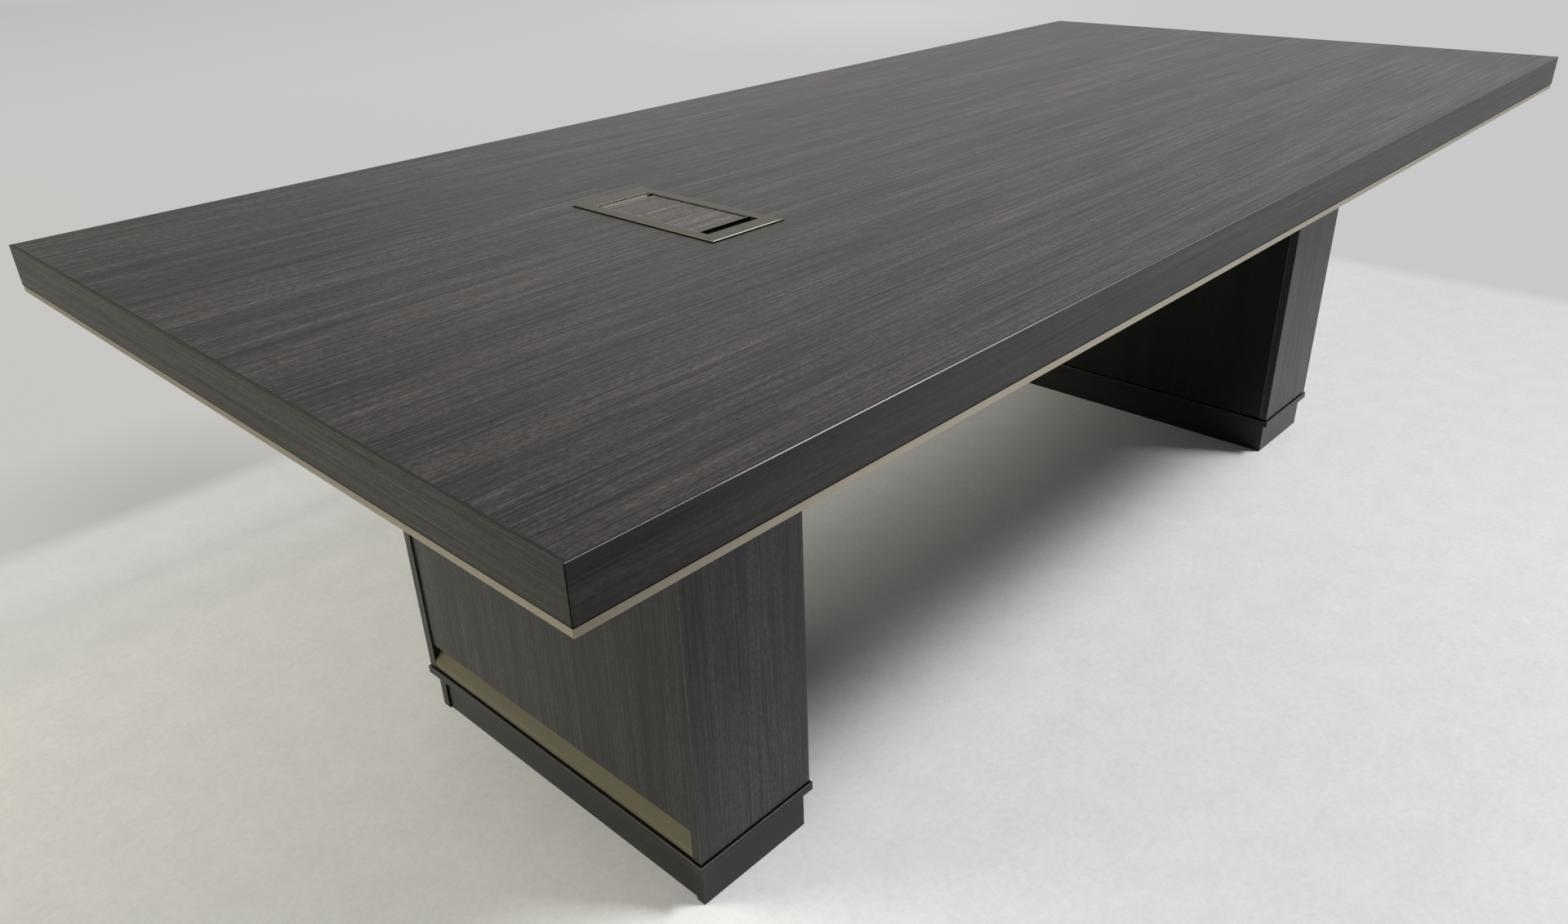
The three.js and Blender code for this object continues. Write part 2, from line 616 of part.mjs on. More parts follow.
// Socket plate: an inverted trough standing on the housing's floor
function socketPlate() {
  const halfWidth = OPENING_X + HOUSING_INSIDE_OFFSET - SEAT_GAP;
  const foot = HOUSING_FLOOR + GLUE_LINE;
  const path = [
    [halfWidth, foot],
    [halfWidth, -SOCKET_PLATE_DEPTH],
    [-halfWidth, -SOCKET_PLATE_DEPTH],
    [-halfWidth, foot],
  ];
  const slotEnd = OPENING_SLOT_END - HOUSING_INSIDE_OFFSET + SEAT_GAP;
  const hingeEnd = OPENING_HINGE_END + HOUSING_INSIDE_OFFSET - SEAT_GAP;
  const trough = extrudeAlong("y", bentSheet(path, SOCKET_PLATE_SHEET), hingeEnd - slotEnd);
  trough.translate(0, (hingeEnd + slotEnd) / 2, 0);
  const half = SOCKET_BODY / 2 + SEAT_GAP;
  const holes = [-1, 0, 1].map((step) => {
    const y = SOCKET_ROW_MIDDLE + step * SOCKET_PITCH;
    const level = [-SOCKET_PLATE_DEPTH - 2 * SOCKET_PLATE_SHEET, -SOCKET_PLATE_DEPTH + SOCKET_PLATE_SHEET];
    return block([-half, half], [y - half, y + half], level);
  });
  return piece("socket_plate", cut(trough, holes), blackSteel());
}

// A square module with its flange on the plate, in its own frame at the plate's surface
function socketModule(name, step, recesses) {
  const flange = SOCKET_FLANGE / 2;
  const body = SOCKET_BODY / 2;
  const rim = block([-flange, flange], [-flange, flange], [GLUE_LINE, SOCKET_FLANGE_HEIGHT]);
  const core = block([-body, body], [-body, body], [-SOCKET_BODY_HEIGHT, SOCKET_FLANGE_HEIGHT]);
  const mesh = piece(name, cut(join(rim, [core]), recesses), blackPlastic());
  mesh.position.set(0, SOCKET_ROW_MIDDLE + step * SOCKET_PITCH, -SOCKET_PLATE_DEPTH);
  return mesh;
}

function socketRecess(x, y, width, length, depth) {
  const level = [SOCKET_FLANGE_HEIGHT - depth, SOCKET_FLANGE_HEIGHT + depth];
  return block([x - width / 2, x + width / 2], [y - length / 2, y + length / 2], level);
}

function powerSocket(name, step) {
  const blade = (side) => {
    const x = (side * BLADE_SLOT_SPACING) / 2;
    return socketRecess(x, BLADE_OFFSET, BLADE_SLOT_WIDTH, BLADE_SLOT_LENGTH, BLADE_SLOT_DEPTH);
  };
  const earth = roundBar("z", EARTH_HOLE_RADIUS, 2 * BLADE_SLOT_DEPTH);
  earth.translate(0, BLADE_OFFSET - EARTH_HOLE_OFFSET, SOCKET_FLANGE_HEIGHT);
  return socketModule(name, step, [blade(-1), blade(1), earth]);
}

function dataSocket(step) {
  const jack = (side) => socketRecess((side * JACK_SPACING) / 2, 0, JACK_WIDTH, JACK_LENGTH, JACK_DEPTH);
  return socketModule("data_socket", step, [jack(-1), jack(1)]);
}

// Power inlet: a flanged body through the housing's end wall, its well open to the outside
function inletMiddle() {
  return HOUSING_FLOOR + INLET_ABOVE_FLOOR + INLET_BODY_HEIGHT / 2;
}

function powerInlet() {
  const wall = OPENING_HINGE_END + HOUSING_OUTSIDE_OFFSET;
  const seat = wall + SEAT_GAP;
  const face = seat + INLET_FLANGE_THICKNESS;
  const middle = inletMiddle();
  const slab = (width, height, y) =>
    block([-width / 2, width / 2], y, [middle - height / 2, middle + height / 2]);
  const flange = slab(INLET_FLANGE_WIDTH, INLET_FLANGE_HEIGHT, [seat, face]);
  const body = slab(INLET_BODY_WIDTH, INLET_BODY_HEIGHT, [face - INLET_BODY_DEPTH, face]);
  const well = slab(INLET_WELL_WIDTH, INLET_WELL_HEIGHT, [face - INLET_WELL_DEPTH, face + INLET_WELL_DEPTH]);
  return piece("power_inlet", cut(join(flange, [body]), [well]), blackPlastic());
}

// Clamps at both ends of the housing: a bent bracket under the panel and its screw
function clamp(label, wall, outwards) {
  const underside = -TOP_PANEL_THICKNESS - SEAT_GAP;
  const legFace = wall + outwards * SEAT_GAP;
  const path = [
    [outwards * (CLAMP_FOOT + SEAT_GAP), underside],
    [outwards * SEAT_GAP, underside],
    [outwards * SEAT_GAP, underside - CLAMP_LEG],
  ];
  const run = outwards > 0 ? path : path.slice().reverse();
  const profile = bentSheet(run, CLAMP_SHEET);
  const strip = extrudeAlong("x", profile, CLAMP_WIDTH).translate(0, wall, 0);
  const hole = roundBar("y", CLAMP_SCREW_RADIUS + PIN_FIT, 4 * CLAMP_FOOT).translate(0, wall, CLAMP_SCREW_Z);
  const bracket = piece(`clamp_bracket_${label}`, cut(strip, [hole]), brightSteel());
  const length = 2 * SEAT_GAP + CLAMP_SHEET + HOUSING_WALL + CLAMP_SCREW_TIP;
  const geometry = screwGeometry(CLAMP_SCREW_RADIUS, CLAMP_HEAD_RADIUS, CLAMP_HEAD_HEIGHT, length);
  const screw = piece(`clamp_screw_${label}`, geometry.rotateX((outwards * Math.PI) / 2), brightSteel());
  screw.position.set(0, legFace + outwards * (CLAMP_SHEET + SEAT_GAP + CLAMP_HEAD_HEIGHT), CLAMP_SCREW_Z);
  return [bracket, screw];
}

function powerBox() {
  const group = new THREE.Group();
  group.position.set(BOX_X, 0, TABLE_HEIGHT);
  group.add(boxFrame(), boxHousing(), lidTray(), lidInlay(), hingePin());
  group.add(socketPlate(), powerSocket("power_socket_1", -1), powerSocket("power_socket_2", 0));
  group.add(dataSocket(1), powerInlet());
  group.add(...clamp("front", OPENING_SLOT_END - HOUSING_OUTSIDE_OFFSET, -1));
  group.add(...clamp("back", OPENING_HINGE_END + HOUSING_OUTSIDE_OFFSET, 1));
  return group;
}

const table = new THREE.Group();
table.name = "conference_table";
table.add(topAssembly(), pedestal("left", -1), pedestal("right", 1), powerBox());

export default table;
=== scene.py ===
# A conference table: a thick charcoal veneer top with a champagne metal line under its edge, on two
# slab pedestals, with a flip-lid power box let into the top. Metres, +X along the table, +Z up.
import math

import bpy
from mathutils import Matrix, Vector


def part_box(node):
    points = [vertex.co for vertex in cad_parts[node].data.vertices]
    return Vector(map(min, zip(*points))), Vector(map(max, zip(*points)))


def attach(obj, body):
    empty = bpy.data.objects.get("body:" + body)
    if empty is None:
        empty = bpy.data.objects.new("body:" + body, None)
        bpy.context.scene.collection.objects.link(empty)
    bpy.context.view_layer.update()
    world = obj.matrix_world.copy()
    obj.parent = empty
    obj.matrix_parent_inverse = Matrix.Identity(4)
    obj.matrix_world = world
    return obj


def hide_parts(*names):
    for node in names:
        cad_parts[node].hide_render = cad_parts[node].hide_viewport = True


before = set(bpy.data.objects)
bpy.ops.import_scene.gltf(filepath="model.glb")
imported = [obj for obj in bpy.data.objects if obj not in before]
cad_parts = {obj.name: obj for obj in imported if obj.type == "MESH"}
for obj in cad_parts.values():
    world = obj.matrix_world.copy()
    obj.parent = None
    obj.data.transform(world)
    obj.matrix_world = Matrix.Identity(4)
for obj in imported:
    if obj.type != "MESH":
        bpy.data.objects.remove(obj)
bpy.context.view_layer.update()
scene = bpy.context.scene
scene.view_settings.view_transform = "Standard"


# Camera
# A wide lens held above the near corner and tilted a little to one side. Its place, aim and lens
# were solved from the corners of the top, the trim and the pedestals.
CAMERA_PLACE = (-1.55065, -1.09347, 1.14826)
CAMERA_HEADING = math.radians(44.1868)
CAMERA_DIP = math.radians(27.4917)
CAMERA_ROLL = math.radians(-1.9694)
SENSOR_WIDTH = 36.0
FOCAL_LENGTH = 26.758

bpy.ops.object.select_all(action="DESELECT")
bpy.ops.object.camera_add(location=CAMERA_PLACE)
camera = bpy.context.object
heading = Matrix.Rotation(CAMERA_HEADING - math.pi / 2, 3, "Z")
dip = Matrix.Rotation(math.pi / 2 - CAMERA_DIP, 3, "X")
roll = Matrix.Rotation(CAMERA_ROLL, 3, "Z")
camera.rotation_euler = (heading @ dip @ roll).to_euler()
camera.data.sensor_fit = "HORIZONTAL"
camera.data.sensor_width = SENSOR_WIDTH
camera.data.lens = FOCAL_LENGTH
scene.camera = camera


# Floor
# A plain pale studio floor, cast smooth and rolled with a matt coat. A faint mottle keeps it from being
# one flat colour, and shade is painted into it behind the table and past its far end. Away from the table
# it fades into the pale background, which carries painted shade and one painted glow in spots; reflections
# alone see a painted darker, olive far left and two painted dark spots.
FLOOR_SIZE = 40
FLOOR_PALE = (0.782, 0.788, 0.798, 1)
FLOOR_SPECK = (0.701, 0.707, 0.714, 1)
FLOOR_CLEAR = (1, 1, 1, 1)
FLOOR_PATCH = (0.960, 0.960, 0.960, 1)
# Painted shade: the floor's colour darkens behind the table and past its far end, where less light reaches.
PAINTED_SHADE_BEHIND = (0.54, 0.55, 0.54, 1)
PAINTED_SHADE_BEHIND_FROM = (0.82, 1.04)
PAINTED_SHADE_BEYOND = (0.84, 0.84, 0.84, 1)
PAINTED_SHADE_BEYOND_FROM = (0.6, 2.0)
# The backdrop that the floor fades into. Only reflections see the far left colour, a painted darker, olive room
# side.
BACKGROUND_FAR_LEFT = (0.255, 0.245, 0.178, 1)
BACKGROUND_LEFT = (0.575, 0.565, 0.54, 1)
BACKGROUND_RIGHT = (0.585, 0.585, 0.59, 1)
BACKGROUND_FROM = (("X", -1.47, -1.90), ("X", 2.03, 2.14), ("Y", -1.10, -1.45), ("Y", 1.27, 1.34))
CORNER_SLANT = (1.085, 1, 0)
CORNER_FROM = (-1.32, -1.80)
# Painted shade on the backdrop, each as its deepest point, the reach from and to, and the shade; the last, above 1,
# is a painted glow.
BACKGROUND_SHADES = (
    ((-0.9, 1.3, 0), (0.10, 0.50), 0.80),
    ((2.1, 12.9, 0), (0, 7), 0.88),
    ((6.2, 5.3, 0), (0.3, 2.4), 1.10),
)
# Painted shade that only reflections see, near the camera and beyond the far end.
MIRRORED_SHADES = (
    ((-1.2, -1.9, 0), (0.9, 1.7), 0.28),
    ((5.2, -1.9, 0), (0.6, 1.9), 0.75),
)

bpy.ops.object.select_all(action="DESELECT")
bpy.ops.mesh.primitive_plane_add(size=FLOOR_SIZE)
floor = bpy.context.object
floor.name = "floor"


def new_material(name):
    """An empty procedural finish: its node tree, its shader and the place of each point on the object."""
    material = bpy.data.materials.new(name)
    material.use_nodes = True
    tree = material.node_tree
    place = tree.nodes.new("ShaderNodeTexCoord").outputs["Object"]
    return material, tree, tree.nodes["Principled BSDF"], place


def noise(tree, place, lengths, detail=2.0, roughness=0.5):
    """Cloudy noise whose patches are about so long, in metres, along X, Y and Z."""
    spread = tree.nodes.new("ShaderNodeMapping")
    spread.inputs["Scale"].default_value = [1 / length for length in lengths]
    cloud = tree.nodes.new("ShaderNodeTexNoise")
    cloud.inputs["Scale"].default_value = 1
    cloud.inputs["Detail"].default_value = detail
    cloud.inputs["Roughness"].default_value = roughness
    tree.links.new(place, spread.inputs["Vector"])
    tree.links.new(spread.outputs["Vector"], cloud.inputs["Vector"])
    return cloud.outputs["Fac"]


def ramp(tree, value, *stops):
    """A value turned into colour, through stops of (value, colour)."""
    node = tree.nodes.new("ShaderNodeValToRGB")
    points = node.color_ramp.elements
    for _ in stops[2:]:
        points.new(0.5)
    for point, (position, colour) in zip(points, stops):
        point.position = position
        point.color = colour
    tree.links.new(value, node.inputs["Fac"])
    return node.outputs["Color"]


def mapped(tree, value, low, high, first, last):
    """A value between low and high turned into one between first and last."""
    node = tree.nodes.new("ShaderNodeMapRange")
    for socket, number in zip(("From Min", "From Max", "To Min", "To Max"), (low, high, first, last)):
        node.inputs[socket].default_value = number
    tree.links.new(value, node.inputs["Value"])
    return node.outputs["Result"]


def calculated(tree, operation, first, second):
    """Two values put together by one sum."""
    node = tree.nodes.new("ShaderNodeMath")
    node.operation = operation
    tree.links.new(first, node.inputs[0])
    tree.links.new(second, node.inputs[1])
    return node.outputs["Value"]


def tinted(tree, colour, tint, amount=1.0):
    """One colour multiplied by another, all over or by an amount from a socket."""
    node = tree.nodes.new("ShaderNodeMix")
    node.data_type = "RGBA"
    node.blend_type = "MULTIPLY"
    inputs = {socket.identifier: socket for socket in node.inputs}
    node.inputs["Factor"].default_value = 1
    if not isinstance(amount, float):
        tree.links.new(amount, node.inputs["Factor"])
    tree.links.new(colour, inputs["A_Color"])
    if isinstance(tint, tuple):
        inputs["B_Color"].default_value = tint
    else:
        tree.links.new(tint, inputs["B_Color"])
    return next(socket for socket in node.outputs if socket.identifier == "Result_Color")


def looking(tree):
    """1 for rays that look at a surface, straight or by a reflection, and 0 for rays that light one."""
    ray = tree.nodes.new("ShaderNodeLightPath").outputs
    mirrored = calculated(tree, "MAXIMUM", ray["Is Glossy Ray"], ray["Is Transmission Ray"])
    return calculated(tree, "MAXIMUM", ray["Is Camera Ray"], mirrored)


def blended(tree, amount, first, second):
    """One shader fading into another."""
    node = tree.nodes.new("ShaderNodeMixShader")
    for socket, source in zip(node.inputs, (amount, first, second)):
        tree.links.new(source, socket)
    return node.outputs["Shader"]


def shaded_near(tree, place, centre, reach, shade):
    """1 beyond the reach of a point, falling to a shade near it."""
    nearness = tree.nodes.new("ShaderNodeVectorMath")
    nearness.operation = "DISTANCE"
    nearness.inputs[1].default_value = centre
    tree.links.new(place, nearness.inputs[0])
    return mapped(tree, nearness.outputs["Value"], *reach, shade, 1)


floor_coat, tree, shader, place = new_material("floor_coat")
specks = noise(tree, place, (0.011, 0.011, 0.011), detail=6, roughness=0.85)
patches = noise(tree, place, (0.06, 0.06, 0.06), detail=2)
coat = ramp(tree, specks, (0.36, FLOOR_SPECK), (0.64, FLOOR_PALE))
coat = tinted(tree, coat, ramp(tree, patches, (0.34, FLOOR_PATCH), (0.66, FLOOR_CLEAR)))
split = tree.nodes.new("ShaderNodeSeparateXYZ")
tree.links.new(place, split.inputs["Vector"])
# Painted shade behind the table and past its far end.
shade_behind_amount = mapped(tree, split.outputs["Y"], *PAINTED_SHADE_BEHIND_FROM, 0, 1)
shade_beyond_amount = mapped(tree, split.outputs["X"], *PAINTED_SHADE_BEYOND_FROM, 0, 1)
shaded_coat = tinted(tree, tinted(tree, coat, PAINTED_SHADE_BEHIND, shade_behind_amount), PAINTED_SHADE_BEYOND, shade_beyond_amount)
tree.links.new(shaded_coat, shader.inputs["Base Color"])
shader.inputs["Roughness"].default_value = 0.75
straight = tree.nodes.new("ShaderNodeLightPath").outputs["Is Camera Ray"]
across = mapped(tree, split.outputs["X"], -2.4, 2.6, 0, 1)
across = calculated(tree, "MAXIMUM", across, mapped(tree, straight, 0, 1, 0, 0.2))
beyond = tree.nodes.new("ShaderNodeEmission")
backdrop = ramp(
    tree, across, (0, BACKGROUND_FAR_LEFT), (0.2, BACKGROUND_LEFT), (1, BACKGROUND_RIGHT)
)
tree.links.new(backdrop, beyond.inputs["Color"])
# The painted shade and glow spots; the mirrored ones stay 1 for rays straight from the camera.
shades = [shaded_near(tree, place, *spot) for spot in BACKGROUND_SHADES]
for spot in MIRRORED_SHADES:
    shades.append(calculated(tree, "MAXIMUM", shaded_near(tree, place, *spot), straight))
strength = shades.pop()
for shade in shades:
    strength = calculated(tree, "MULTIPLY", strength, shade)
tree.links.new(strength, beyond.inputs["Strength"])
left, right, near, far = (
    mapped(tree, split.outputs[axis], start, end, 0, 1) for axis, start, end in BACKGROUND_FROM
)
slant = tree.nodes.new("ShaderNodeVectorMath")
slant.operation = "DOT_PRODUCT"
slant.inputs[1].default_value = CORNER_SLANT
tree.links.new(place, slant.inputs[0])
faded = mapped(tree, slant.outputs["Value"], *CORNER_FROM, 0, 1)
for edge in (left, right, near, far):
    faded = calculated(tree, "MAXIMUM", faded, edge)
amount = calculated(tree, "MULTIPLY", faded, looking(tree))
finish = blended(tree, amount, shader.outputs["BSDF"], beyond.outputs["Emission"])
tree.links.new(finish, tree.nodes["Material Output"].inputs["Surface"])
floor.data.materials.append(floor_coat)


# Studio light
# A long soft box high above the front side, a warmer panel beyond the left end and a small one to the
# right that adds to the painted highlight along the front arris. The pale surround lights the rest.
SURROUND = (0.93, 0.95, 1.0, 1)
SURROUND_STRENGTH = 0.16
WALL_FAR_LEFT = (0.33, 0.32, 0.26, 1)
WALL_LEFT = (0.36, 0.355, 0.345, 1)
WALL_RIGHT = (0.725, 0.712, 0.69, 1)
OVERHEAD = (0.80, 0.80, 0.81, 1)

SOFT_LIGHTS = {
    "front": {
        "place": (10.8, -10.8, 21.0), "aim": (0.3, 0, 0), "size": (7.6, 5.0), "power": 6290,
        "colour": (1.0, 0.995, 0.99),
    },
    "left": {
        "place": (-3.0, 2.1, 3.4), "aim": (-0.9, 0.3, 0), "size": (2.2, 2.0), "power": 142,
        "colour": (1.0, 0.96, 0.82),
    },
    "right": {
        "place": (3.2, -1.4, 2.9), "aim": (-0.4, -0.5, 0.7), "size": (0.7, 0.7), "power": 14,
        "colour": (1.0, 1.0, 1.0),
    },
}


for name, light in SOFT_LIGHTS.items():
    bpy.ops.object.light_add(type="AREA", location=light["place"])
    lamp = bpy.context.object
    lamp.name = name
    lamp.data.shape = "RECTANGLE"
    lamp.data.size, lamp.data.size_y = light["size"]
    lamp.data.energy = light["power"]
    lamp.data.color = light["colour"]
    aim = Vector(light["aim"]) - Vector(light["place"])
    lamp.rotation_euler = aim.to_track_quat("-Z", "Y").to_euler()

world = bpy.data.worlds.new("studio")
scene.world = world
world.use_nodes = True
tree = world.node_tree
surround = tree.nodes["Background"]
surround.inputs["Color"].default_value = SURROUND
surround.inputs["Strength"].default_value = SURROUND_STRENGTH
seen = tree.nodes.new("ShaderNodeBackground")
direction = tree.nodes.new("ShaderNodeTexCoord").outputs["Generated"]
split = tree.nodes.new("ShaderNodeSeparateXYZ")
tree.links.new(direction, split.inputs["Vector"])
across = mapped(tree, split.outputs["X"], -1, 1, 0, 1)
graded = ramp(tree, across, (0.25, WALL_FAR_LEFT), (0.64, WALL_LEFT), (0.79, WALL_RIGHT))
dimmed = tinted(tree, graded, ramp(tree, split.outputs["Z"], (0.12, (1, 1, 1, 1)), (0.65, OVERHEAD)))
tree.links.new(dimmed, seen.inputs["Color"])
sky = blended(tree, looking(tree), surround.outputs["Background"], seen.outputs["Background"])
plain = tree.nodes.new("ShaderNodeBackground")
plain.inputs["Color"].default_value = BACKGROUND_RIGHT
straight = tree.nodes.new("ShaderNodeLightPath").outputs["Is Camera Ray"]
sky = blended(tree, straight, sky, plain.outputs["Background"])
tree.links.new(sky, tree.nodes["World Output"].inputs["Surface"])


# Top panel
# A 25 mm particle board faced with straight-grain veneer, stained charcoal and lacquered satin, with a
# dark backing sheet below. The cut-out for the power box is sawn through it and the short ends are eased.
CUT_OUT_GAP = 0.002
JOINT_EASE = 0.0005
SHADE_RING_REACH = 0.003
VENEER_DARK = (0.0054, 0.0050, 0.0049, 1)
VENEER_MID = (0.0172, 0.0157, 0.0154, 1)
VENEER_LIGHT = (0.0360, 0.0328, 0.0322, 1)
GREY_STREAK = (1.01, 0.985, 0.995, 1)
BROWN_STREAK = (1.10, 0.985, 0.97, 1)
TABLE_HUES = (GREY_STREAK, BROWN_STREAK)
BAND_SHADE = (0.66, 0.66, 0.66, 1)
BAND_GLOW = (1.34, 1.34, 1.34, 1)
RIBBON_SHADE = (0.70, 0.70, 0.71, 1)
RIBBON_GLOW = (1.30, 1.29, 1.28, 1)
LINE_SHADE = (0.03, 0.03, 0.03, 1)
PORE_DEPTH = 0.95
PORE_GLOW = 1.35


def veneer(name, grain, figure, streak_hues, tone=1.0, gloss=0.5, satin=0.38):
    """Charcoal veneer with its grain along an axis: bands, ribbons, streaks, dark lines and open pores.

    A figure of 1 is lively, and less is calmer. A tone above 1 is paler, and satin is the roughness.
    """
    material, tree, shader, place = new_material(name)

    def along_grain(width, length, detail, roughness=0.5):
        lengths = [length if axis == grain else width for axis in "XYZ"]
        return noise(tree, place, lengths, detail, roughness)

    bands = along_grain(0.055, 1.6, 3)
    hues = along_grain(0.035, 0.8, 2)
    streaks = along_grain(0.0033, 0.26, 4, 0.7)
    ribbons = along_grain(0.026, 0.9, 2)
    lines = along_grain(0.0026, 0.12, 2)
    pores = along_grain(0.0026, 0.006, 3, 0.75)
    reach = 0.24 / figure
    dark, mid, light = (
        tuple(tone * channel for channel in colour) for colour in (VENEER_DARK, VENEER_MID, VENEER_LIGHT)
    )
    stain = ramp(tree, streaks, (0.5 - reach, dark), (0.5, mid), (0.5 + reach, light))
    cool, warm = streak_hues
    stain = tinted(tree, stain, ramp(tree, hues, (0.38, cool), (0.62, warm)))
    stain = tinted(tree, stain, ramp(tree, bands, (0.32, BAND_SHADE), (0.68, BAND_GLOW)))
    stain = tinted(tree, stain, ramp(tree, ribbons, (0.34, RIBBON_GLOW), (0.66, RIBBON_SHADE)))
    crowded = mapped(tree, ribbons, 0.35, 0.60, 0.45 * figure, figure)
    drawn = calculated(tree, "MULTIPLY", mapped(tree, lines, 0.47, 0.40, 0, 1), crowded)
    stain = tinted(tree, stain, LINE_SHADE, drawn)
    sunk, raised = 1 - PORE_DEPTH * figure, 1 + PORE_GLOW * figure
    speckle = ramp(tree, pores, (0.31, (sunk, sunk, sunk, 1)), (0.69, (raised, raised, raised, 1)))
    stain = tinted(tree, stain, speckle)
    tree.links.new(stain, shader.inputs["Base Color"])
    tree.links.new(mapped(tree, streaks, 0.3, 0.7, satin + 0.06, satin - 0.06), shader.inputs["Roughness"])
    shader.inputs["IOR"].default_value = 1.45
    shader.inputs["Specular IOR Level"].default_value = gloss
    relief = tree.nodes.new("ShaderNodeBump")
    relief.inputs["Strength"].default_value = 0.25
    relief.inputs["Distance"].default_value = 0.0004
    tree.links.new(mapped(tree, lines, 0.30, 0.55, 0, 1), relief.inputs["Height"])
    tree.links.new(relief.outputs["Normal"], shader.inputs["Normal"])
    return material


FLAKE_LIGHT = (0.42, 0.30, 0.18, 1)
FLAKE_MID = (0.27, 0.18, 0.105, 1)
FLAKE_DARK = (0.13, 0.085, 0.05, 1)
FLAKES_PER_METRE = 320

particle_board, tree, shader, place = new_material("particle_board")
flakes = tree.nodes.new("ShaderNodeTexVoronoi")
flakes.inputs["Scale"].default_value = FLAKES_PER_METRE
tree.links.new(place, flakes.inputs["Vector"])
tone = ramp(tree, flakes.outputs["Color"], (0.2, FLAKE_DARK), (0.5, FLAKE_MID), (0.85, FLAKE_LIGHT))
tree.links.new(tone, shader.inputs["Base Color"])
shader.inputs["Roughness"].default_value = 0.85

backing_sheet, tree, shader, place = new_material("backing_sheet")
mottle = noise(tree, place, (0.02, 0.02, 0.02), detail=4)
tone = ramp(tree, mottle, (0.3, (0.020, 0.017, 0.015, 1)), (0.7, (0.032, 0.028, 0.025, 1)))
tree.links.new(tone, shader.inputs["Base Color"])
tree.links.new(mapped(tree, mottle, 0.3, 0.7, 0.5, 0.62), shader.inputs["Roughness"])

X, Y, Z = Vector((1, 0, 0)), Vector((0, 1, 0)), Vector((0, 0, 1))
AXES = (X, Y, Z)
TINY = 1e-5


def close(a, b):
    return abs(a - b) < TINY


def work_on(piece):
    """Leaves one piece selected and active."""
    bpy.ops.object.select_all(action="DESELECT")
    piece.select_set(True)
    bpy.context.view_layer.objects.active = piece


def settle(name):
    """Names the piece just added and leaves its place in its mesh."""
    piece = bpy.context.object
    piece.name = name
    piece.data.name = name
    bpy.ops.object.transform_apply(location=True, rotation=True, scale=True)
    return piece


def add_block(name, low, high):
    """A sawn block between two corners, ready to be worked."""
    bpy.ops.object.select_all(action="DESELECT")
    bpy.ops.mesh.primitive_cube_add(size=1, location=(low + high) / 2, scale=high - low)
    return settle(name)


def select_edges(piece, wanted):
    """In edit mode, selects the edges for which wanted(one end, other end) is true."""
    work_on(piece)
    bpy.ops.object.mode_set(mode="EDIT")
    bpy.ops.mesh.select_mode(type="EDGE")
    bpy.ops.mesh.select_all(action="DESELECT")
    bpy.ops.object.mode_set(mode="OBJECT")
    corners = piece.data.vertices
    for edge in piece.data.edges:
        edge.select = wanted(*(corners[i].co for i in edge.vertices))
    bpy.ops.object.mode_set(mode="EDIT")


def select_faces(piece, wanted):
    """In edit mode, selects the faces for which wanted(centre, normal) is true."""
    work_on(piece)
    bpy.ops.object.mode_set(mode="EDIT")
    bpy.ops.mesh.select_mode(type="FACE")
    bpy.ops.mesh.select_all(action="DESELECT")
    bpy.ops.object.mode_set(mode="OBJECT")
    for face in piece.data.polygons:
        face.select = wanted(face.center, face.normal)
    bpy.ops.object.mode_set(mode="EDIT")


def ease(piece, size, wanted, steps=3):
    """Rounds over the chosen edges, or chamfers them in one step."""
    select_edges(piece, wanted)
    bpy.ops.mesh.bevel(offset=size, segments=steps, affect="EDGES")
    bpy.ops.object.mode_set(mode="OBJECT")


def saw(piece, axis, *levels):
    """Draws a line right round a piece at each level along an axis, to be worked from."""
    work_on(piece)
    bpy.ops.object.mode_set(mode="EDIT")
    for level in levels:
        bpy.ops.mesh.select_all(action="SELECT")
        bpy.ops.mesh.bisect(plane_co=level * AXES[axis], plane_no=AXES[axis])
    bpy.ops.object.mode_set(mode="OBJECT")


def remove_faces(piece, wanted):
    select_faces(piece, wanted)
    bpy.ops.mesh.delete(type="FACE")
    bpy.ops.object.mode_set(mode="OBJECT")


def inside(at, low, high):
    """Whether a point lies between two corners, seen from above."""
    return low.x < at.x < high.x and low.y < at.y < high.y


def cut_opening(piece, low, high):
    """Saws a square opening down through a board and walls its sides."""
    saw(piece, 0, low.x, high.x)
    saw(piece, 1, low.y, high.y)
    remove_faces(piece, lambda at, facing: abs(facing.z) > 0.9 and inside(at, low, high))
    bpy.ops.object.mode_set(mode="EDIT")
    bpy.ops.mesh.select_mode(type="EDGE")
    bpy.ops.mesh.select_all(action="DESELECT")
    bpy.ops.mesh.select_non_manifold(use_wire=False, use_multi_face=False, use_non_contiguous=False, use_verts=False)
    bpy.ops.mesh.bridge_edge_loops()
    bpy.ops.object.mode_set(mode="OBJECT")


def apply(piece, modifier):
    work_on(piece)
    bpy.ops.object.modifier_apply(modifier=modifier.name)


def fit(piece, material, slot, body, *nodes):
    """Evens out the shading of a finished piece, gives it its finish and fixes it in the place of the
    frame's own pieces."""
    work_on(piece)
    bpy.ops.object.shade_smooth_by_angle(angle=math.radians(35))
    even = piece.modifiers.new("even_shading", "WEIGHTED_NORMAL")
    even.weight = 100
    even.keep_sharp = True
    apply(piece, even)
    piece.data.materials.append(material)
    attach(piece, body)
    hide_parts(*nodes)


def touch(piece, material, wanted):
    """Gives a second finish to the faces for which wanted(centre, normal) is true."""
    piece.data.materials.append(material)
    for face in piece.data.polygons:
        if wanted(face.center, face.normal):
            face.material_index = len(piece.data.materials) - 1


